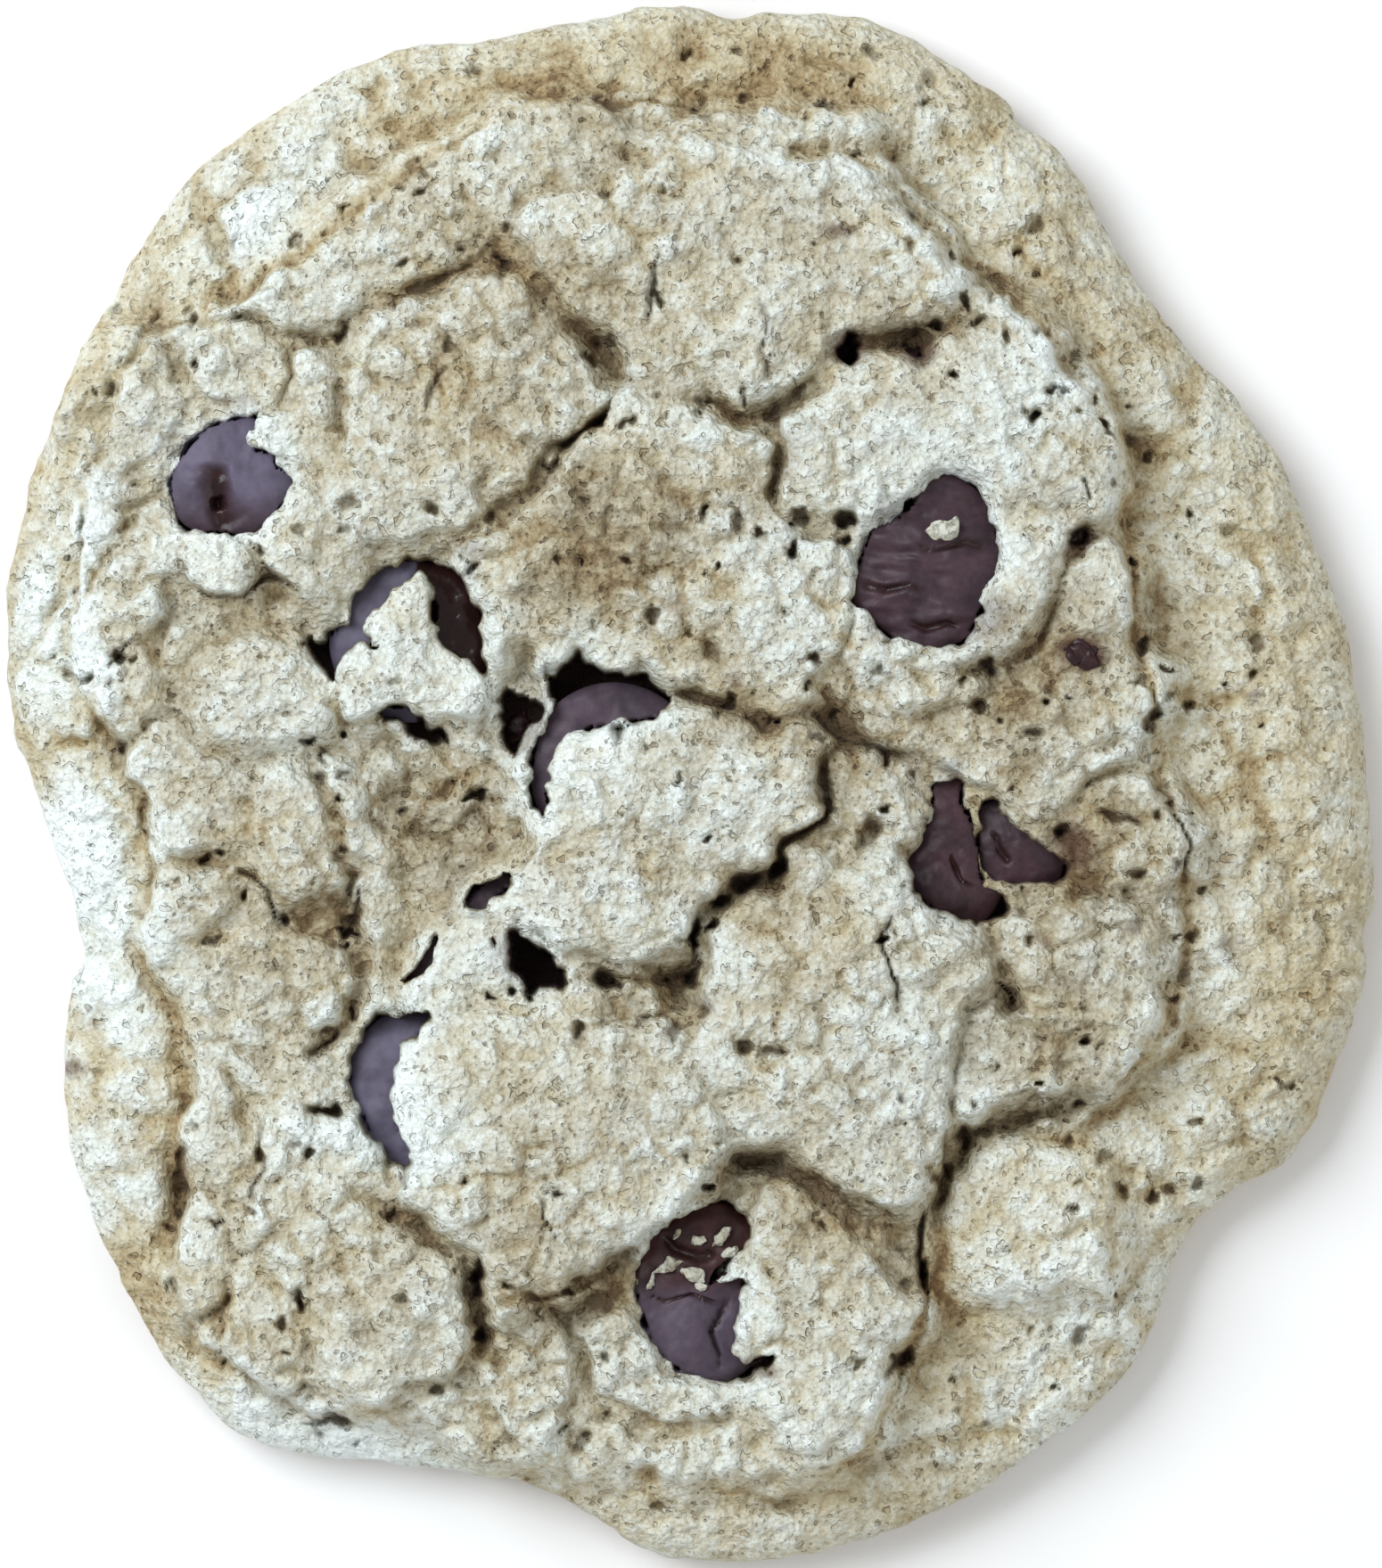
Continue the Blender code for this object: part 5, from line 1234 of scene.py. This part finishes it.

# %% [markdown]
# ## Baked dough
# The crust is pale and dusty where it stands proud, sand-coloured between, and golden brown only in
# creases and thin places. The middle, which stayed moist, is a little greyer. Depth does most of the
# work: the marks say how hollow each place is, and a ramp turns that into colour, so besides the
# crust's own colours the finish paints shade into hollows, holes and pores and light onto crests.

# %% The dough's finish
dough, wire = new_material("baked_dough")
close = mark_of(wire, "close")
wide = mark_of(wire, "wide")
golden = mark_of(wire, "golden")
pit = mark_of(wire, "pit")
stain = mark_of(wire, "stain")
stepped = mark_of(wire, "stepped")
under = mark_of(wire, "under")
patches = noise(wire, 7.0, 2.0)
mottle = noise(wire, 1.6, 4.0, 0.6)
shade = mark_of(wire, "shade")
floured = mark_of(wire, "floured")
speckle = noise(wire, 0.9, 4.0, 0.7)
place = wire.node("ShaderNodeTexCoord", output="Object")
shift = noise(wire, 0.5, 2.0, 0.5).other(1)
shift = wire.node("ShaderNodeVectorMath", {"operation": "SCALE"}, {0: shift, "Scale": 0.30 * MM})
ragged = wire.node("ShaderNodeVectorMath", {"operation": "ADD"}, {0: place, 1: shift})
coarse = wire.node("ShaderNodeTexVoronoi", None, {"Vector": ragged, "Scale": 1 / (0.85 * MM)})
fine = wire.node("ShaderNodeTexVoronoi", None, {"Vector": ragged, "Scale": 1 / (0.42 * MM)})
# In the tone, pebbles is partly the pale grains' own colour and partly a painted highlight on their tops
# with painted shade between them.
pebbles = 1.0 - 0.6 * coarse - 0.4 * fine
grainy = 0.6 * fine.other(1) + 0.4 * coarse.other(1)
dimple = noise(wire, 0.75, 1.0, 0.5).eased(0.37, 0.30)
dent = noise(wire, 0.42, 1.0, 0.5).eased(0.36, 0.30)
# Crevices sink the bumps, and in the tone they are painted shade.
crevice = 0.80 * dimple + 0.55 * dent
sand = noise(wire, 0.28, 2.0, 0.6)
crevice_patches = noise(wire, 2.2, 3.0).eased(0.38, 0.62)
# Here close and wide are partly the crust's own paler crests and browner hollows, and partly painted light
# on crests and painted shade in hollows.
tone = (0.53 + 0.18 * close + 0.30 * wide + 0.55 * (patches - 0.5) + 0.38 * (mottle - 0.5)
        + 0.22 * (speckle - 0.5) + 0.30 * (sand - 0.5) + 0.20 * (grainy - 0.5) + 0.34 * (pebbles - 0.45)
        - 0.22 * crevice * (0.3 + 0.7 * crevice_patches))
# The floured mark brightens white, floury dough and paints light on the lit left rim; below it also cools
# the colour there.
tone = tone + 0.08 * (1 - stepped) + 0.34 * floured
# The shade mark darkens dough that stayed moist and is painted shade in and beside the valleys.
tone = (tone - 0.42 * golden * (2.0 * mottle) - 0.40 * shade * (0.4 + 1.2 * mottle)).held()
warm_colour = wire.node("ShaderNodeValToRGB", {"stops": [
    (0.00, srgb(122, 98, 66)), (0.18, srgb(168, 148, 110)), (0.38, srgb(196, 184, 151)),
    (0.56, srgb(212, 206, 182)), (0.76, srgb(228, 230, 217)), (1.00, srgb(242, 248, 244))]}, {"Fac": tone})
cool_colour = wire.node("ShaderNodeValToRGB", {"stops": [
    (0.00, srgb(98, 88, 70)), (0.18, srgb(140, 132, 110)), (0.38, srgb(174, 168, 149)),
    (0.56, srgb(202, 201, 187)), (0.76, srgb(222, 228, 221)), (1.00, srgb(240, 248, 246))]}, {"Fac": tone})
tint = noise(wire, 3.4, 4.0, 0.65)
coolness = (0.24 + 0.30 * stepped - 0.5 * golden + 0.5 * floured + 2.2 * (tint - 0.47)).held()
colour = blend(wire, coolness, warm_colour, cool_colour)
colour = blend(wire, (stain * (0.7 + 0.6 * mottle)).held(), colour, srgb(88, 58, 46))
# Painted shade, nearly black, in holes, cracks and openings.
colour = blend(wire, (pit * 1.1).held(), colour, srgb(46, 32, 26))
baked = wire.node("ShaderNodeValToRGB", {"stops": [
    (0.25, srgb(120, 76, 40)), (0.50, srgb(168, 118, 66)), (0.75, srgb(196, 156, 102))]},
    {"Fac": (0.55 * noise(wire, 9.0, 3.0) + 0.45 * mottle)})
colour = blend(wire, under.held(), colour, baked)
# Pricks are tiny pores, sunk in the bumps and darkened with painted shade.
prick = wire.node("ShaderNodeTexVoronoi", None, {"Vector": place, "Scale": 1 / (0.9 * MM)})
pricked = prick.eased(0.15, 0.09) * noise(wire, 2.4, 1.0).eased(0.54, 0.60)
colour = blend(wire, pricked * 0.4, colour, srgb(96, 76, 56))
bumps = (0.4 * speckle + 0.25 * sand + 0.30 * grainy + 1.1 * pebbles - 0.7 * pricked
         - crevice * (0.3 + 0.7 * crevice_patches))
normal = wire.node("ShaderNodeBump", None, {"Strength": 1.0, "Distance": 0.34 * MM, "Height": bumps})
surface(wire, Base_Color=colour, Roughness=0.86, Normal=normal, IOR=1.4)
crust.data.materials.clear()
crust.data.materials.append(dough)
print("dough:", len(dough.node_tree.nodes), "nodes")

# %% [markdown]
# ## Chocolate
# Baking chocolate melts without flowing far, and sets again as a satin, maroon-brown skin. A painted
# sheen of bluish grey stands for the reflection of the cool sky in that skin. Each chip carries its own
# marks for that painted sheen and for gloss, which also darkens its grooves as painted shade, so one
# finish does for all of them.

# %% The chocolate's finish
chocolate, wire = new_material("chocolate")
bloom = mark_of(wire, "bloom")
gloss = mark_of(wire, "gloss")
cloud = noise(wire, 2.6, 3.0)
speck = noise(wire, 0.5, 3.0, 0.65)
colour = blend(wire, (0.6 * cloud + 0.4 * speck).eased(0.35, 0.70), srgb(42, 20, 20), srgb(72, 41, 42))
sheen_veil = (bloom * (0.35 + 1.1 * cloud) + 0.35 * (speck - 0.5) * bloom).held()
# The bluish grey is a painted reflection of the sky.
colour = blend(wire, sheen_veil, colour, srgb(108, 104, 126))
# Gloss darkens the chocolate: its own glossy skin, and painted shade in the grooves.
colour = blend(wire, gloss * 0.75, colour, srgb(36, 21, 20))
bumps = 0.6 * noise(wire, 0.7, 3.0) + 0.4 * speck
normal = wire.node("ShaderNodeBump", None, {"Strength": 0.5, "Distance": 0.12 * MM, "Height": bumps})
shine = (0.46 + 0.16 * (speck - 0.5) + 0.10 * bloom - 0.30 * gloss).held()
surface(wire, Base_Color=colour, Roughness=shine, Normal=normal, IOR=1.45, Specular_IOR_Level=0.34)
print("chocolate:", len(chocolate.node_tree.nodes), "nodes")

# %% [markdown]
# ## The chips
# A chip is a drop of chocolate that slumped: a squashed ball. It lies under the crust and shows only
# where the crust tore open, so each ball is set a little lower than the crust round its opening, and
# pressed down wherever the crust still covers it. Two chips cracked, and one broke in two.

# %% One chip
CHIP_SEGMENTS = 128
CHIP_RINGS = 72
CHIP_THICKNESS = 5.4
COVERED = 0.45  # how far a chip stays under the crust that covers it

# name: (x, y, half length, half width, how far it lies below the crust, painted sheen, gloss)
CHIPS = {
    "chip_upturned": (-29.4, 19.5, 4.3, 4.3, 0.1, 0.55, 0.0),
    "chip_horned": (-17.9, 9.2, 5.3, 5.3, 0.9, 0.45, 0.0),
    "chip_crescent": (-4.9, 1.0, 5.5, 5.5, 0.5, 0.30, 0.0),
    "chip_smeared": (15.0, 14.2, 5.2, 6.0, 1.1, 0.15, 0.0),
    "chip_split_left": (16.9, -4.3, 3.7, 5.5, 1.0, 0.10, 0.0),
    "chip_split_right": (21.1, -3.6, 3.7, 3.7, 0.9, 0.12, 0.0),
    "chip_bluish": (-17.2, -20.0, 5.2, 5.8, 1.3, 0.85, 0.0),
    "chip_cracked": (0.7, -32.7, 5.1, 6.1, 0.9, 0.40, 0.0),
    "chip_under_flap": (-12.6, -11.0, 5.8, 5.8, 1.0, 0.25, 0.2),
}
# (width, depth, line) of the grooves and cracks in a chip
GROOVES = {
    "chip_upturned": [
        (1.8, 0.5, [(-30.2, 20.6), (-30.4, 19.0), (-30.2, 17.4), (-29.8, 16.0)]),
        (0.7, 1.1, [(-30.3, 18.4), (-30.2, 18.0), (-30.1, 17.5)]),
    ],
    "chip_smeared": [
        (0.35, 0.4, [(10.8, 12.8), (12.4, 12.4), (14.0, 12.7), (15.2, 12.2)]),
        (0.3, 0.5, [(13.8, 10.4), (15.0, 9.9), (16.4, 10.3), (17.2, 10.0)]),
        (0.3, 0.3, [(14.2, 15.2), (15.8, 14.9), (17.6, 15.4), (18.9, 15.0)]),
    ],
    "chip_cracked": [
        (0.20, 0.6, [(2.6, -32.8), (1.8, -34.2), (1.3, -35.2), (1.8, -36.6), (1.9, -37.6)]),
        (0.16, 0.3, [(-3.0, -32.6), (-1.6, -33.2), (0.2, -32.7), (1.8, -33.4)]),
        (0.50, 0.5, [(-1.8, -28.9), (-1.0, -29.9), (0.6, -30.4), (1.6, -30.0)]),
    ],
    "chip_split_left": [
        (0.25, 0.4, [(16.6, -4.4), (17.0, -5.4), (17.4, -6.2), (18.6, -6.8)]),
    ],
    "chip_split_right": [
        (0.25, 0.4, [(19.4, -3.0), (19.8, -4.2), (20.6, -5.2)]),
    ],
}


def level_round(outline):
    """The usual height of the crust just outside an opening."""
    curve = closed_curve(outline)
    outside = curve + (curve - curve.mean(axis=0)) * 0.18
    height, _marks = crust_relief(outside[:, 0], outside[:, 1])
    return float(np.median(height))


def add_marks(mesh, **marks):
    for name, values in marks.items():
        mark = mesh.attributes.new(name, "FLOAT", "POINT")
        mark.data.foreach_set("value", np.ascontiguousarray(values, dtype=np.float32))


def add_chip(name, x, y, half_length, half_width, sunk, bloom, gloss):
    top = level_round(OPENINGS[name]) - sunk
    low = top - CHIP_THICKNESS
    place = (x * MM, y * MM, (top + low) / 2 * MM)
    bpy.ops.object.select_all(action="DESELECT")
    bpy.ops.mesh.primitive_uv_sphere_add(
        segments=CHIP_SEGMENTS, ring_count=CHIP_RINGS, radius=1.0 * MM, location=place)
    chip = bpy.context.object
    bpy.ops.object.transform_apply(location=True)
    bpy.ops.object.mode_set(mode="EDIT")
    bpy.ops.mesh.select_all(action="SELECT")
    size = (half_length, half_width, CHIP_THICKNESS / 2)
    bpy.ops.transform.resize(value=size, center_override=place)
    bpy.ops.object.mode_set(mode="OBJECT")
    chip.name = name + "_shown"

    a, b, c = places_of(chip.data).T / MM
    upper = smooth((c - low) / CHIP_THICKNESS * 2 - 0.6)
    # A slumped drop is flatter on top than a ball.
    c = np.where(c > (top + low) / 2, top - (top - c) * 0.5, c)
    seed = 100 + round(abs(x) * 3)
    c = c + upper * (0.22 * rough(a, b, 3.0, seed) + 0.07 * rough(a, b, 0.9, seed + 5))
    if name == "chip_smeared":
        c = c + upper * (0.22 * hills(a * 0.3, b, 0.8, 5) + 0.14 * hills(a * 0.3, b, 0.4, 10))
    dent = np.zeros(a.shape)
    ground = c.copy()
    cut_lines(ground, dent, GROOVES.get(name, []), a, b, a + 0.12 * hills(a, b, 0.8, 7), b)
    c = np.where(upper > 0.4, ground, c)
    opened = np.full(a.shape, -9.0)
    for window, outline in OPENINGS.items():
        if window.startswith(name):
            opened = np.maximum(opened, depth_inside(outline, a, b))
    crust_here, _marks = crust_relief(a, b)
    covered = np.minimum(c, crust_here - COVERED)
    c = np.where(opened < -0.1, covered, c)
    c = np.maximum(c, 0.8)
    move_vertices(chip.data, np.stack([a - middle.x, b - middle.y, c], axis=1) * MM)
    painted_sheen_here = np.full(a.shape, bloom)
    shining = np.full(a.shape, gloss)
    # The painted reflection lies on the left part of the horned chip, the upper part of the upturned chip
    # and the lower part of the cracked chip.
    if name == "chip_horned":
        painted_sheen_here = np.where(a < -17.5, 0.85, 0.0)
        shining = np.where(a < -17.5, 0.0, 1.0)
    if name == "chip_upturned":
        painted_sheen_here = bloom * smooth((b - 15.5) / 4.0) + 0.15
    if name == "chip_cracked":
        painted_sheen_here = bloom * smooth((-31.0 - b) / 3.0)
    # Grooves lose the painted reflection and get painted shade through the gloss mark.
    add_marks(chip.data, bloom=painted_sheen_here * (1 - dent), gloss=np.maximum(shining, 0.8 * dent))
    chip.data.shade_smooth()
    chip.data.materials.append(chocolate)
    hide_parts(name)
    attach(chip, "root")
    print(name, "tops out at", round(c.max(), 2), "mm")
    return chip


# %% All the chips
shown_chips = {name: add_chip(name, *numbers) for name, numbers in CHIPS.items()}
print(len(shown_chips), "chips")

# %% [markdown]
# ## Crumbs and chocolate bits
# Small things lie on top: crumbs of dough that stuck to soft chocolate, and slivers of chocolate that
# broke off before baking. Each kind is one mesh: a ball is added for each piece, squashed and turned,
# all are joined, and then the joined mesh is roughened.

# %% Scattered pieces
# (x, y, length, width, height, turn in degrees)
CRUMBS = [
    (16.2, 16.3, 2.3, 1.3, 0.9, 10),
    (-1.4, -30.9, 2.2, 0.9, 0.6, 25), (0.2, -31.6, 1.5, 0.7, 0.5, -20), (1.9, -28.9, 1.5, 0.6, 0.6, 50),
    (-2.4, -31.8, 0.9, 0.5, 0.5, 60), (0.5, -29.2, 0.8, 0.5, 0.5, 10), (0.7, -32.2, 0.6, 0.4, 0.4, 0),
    (-0.9, -28.9, 0.6, 0.4, 0.4, 70), (2.6, -30.0, 1.2, 0.5, 0.5, 35),
]
BITS = [
    (25.0, 8.3, 2.6, 1.6, 0.9, -30), (10.1, 27.8, 2.0, 1.6, 1.4, 20), (14.3, 27.4, 1.2, 0.8, 1.2, -20),
    (24.6, 15.6, 1.6, 0.8, 1.2, 50), (-3.0, 6.8, 1.0, 0.9, 1.0, 0), (-11.0, 3.8, 2.4, 1.3, 1.2, 65),
    (4.6, -37.1, 1.6, 0.8, 0.9, 5),
]


def height_of(x, y):
    """The highest of the crust and the chips over a place."""
    found = float(crust_relief(np.array([x]), np.array([y]))[0][0])
    for chip in shown_chips.values():
        places = places_of(chip.data) / MM
        close = np.hypot(places[:, 0] + middle.x - x, places[:, 1] + middle.y - y) < 0.45
        if close.any():
            found = max(found, float(places[close, 2].max()))
    return found


def scatter(name, pieces, sunk, seed):
    """One joined mesh of squashed, roughened balls."""
    made = []
    for x, y, length, width, height, turn in pieces:
        level = height_of(x, y) + height * (0.5 - sunk)
        place = ((x - middle.x) * MM, (y - middle.y) * MM, level * MM)
        bpy.ops.object.select_all(action="DESELECT")
        bpy.ops.mesh.primitive_ico_sphere_add(subdivisions=4, radius=0.5 * MM, location=place)
        bpy.ops.object.transform_apply(location=True)
        bpy.ops.object.mode_set(mode="EDIT")
        bpy.ops.mesh.select_all(action="SELECT")
        bpy.ops.transform.resize(value=(length, width, height), center_override=place)
        bpy.ops.transform.rotate(value=-math.radians(turn), orient_axis="Z", center_override=place)
        bpy.ops.object.mode_set(mode="OBJECT")
        made.append(bpy.context.object)
    bpy.ops.object.select_all(action="DESELECT")
    for piece in made:
        piece.select_set(True)
    bpy.ops.object.join()
    joined = bpy.context.object
    joined.name = name
    places = places_of(joined.data)
    a, b, c = places.T / MM
    places[:, 0] += 0.28 * MM * rough(b, c + a, 0.7, seed)
    places[:, 1] += 0.28 * MM * rough(a, c - b, 0.7, seed + 7)
    places[:, 2] += 0.20 * MM * rough(a, b, 0.6, seed + 14)
    move_vertices(joined.data, places)
    joined.data.shade_smooth()
    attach(joined, "root")
    print(name, len(joined.data.polygons), "faces")
    return joined


crumbs = scatter("crumbs", CRUMBS, 0.25, 201)
crumbs.data.materials.append(dough)
count = len(crumbs.data.vertices)
add_marks(crumbs.data, stepped=np.ones(count), shade=np.full(count, 0.5), floured=np.full(count, 0.6))
bits = scatter("chocolate_bits", BITS, 0.62, 301)
bits.data.materials.append(chocolate)
count = len(bits.data.vertices)
add_marks(bits.data, bloom=np.full(count, 0.05), gloss=np.full(count, 0.35))

# %% [markdown]
# ## The size
# The dressed cookie has to fill the same box as the solid one. Both boxes are printed.

# %% Print both boxes and finish
dressed_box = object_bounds()
sizes = {
    "solid": [list(corner) for corner in solid_box],
    "dressed": [list(corner) for corner in dressed_box],
}
for name, (low, high) in sizes.items():
    print(name, [round((b - a) / MM, 2) for a, b in zip(low, high)], "mm")
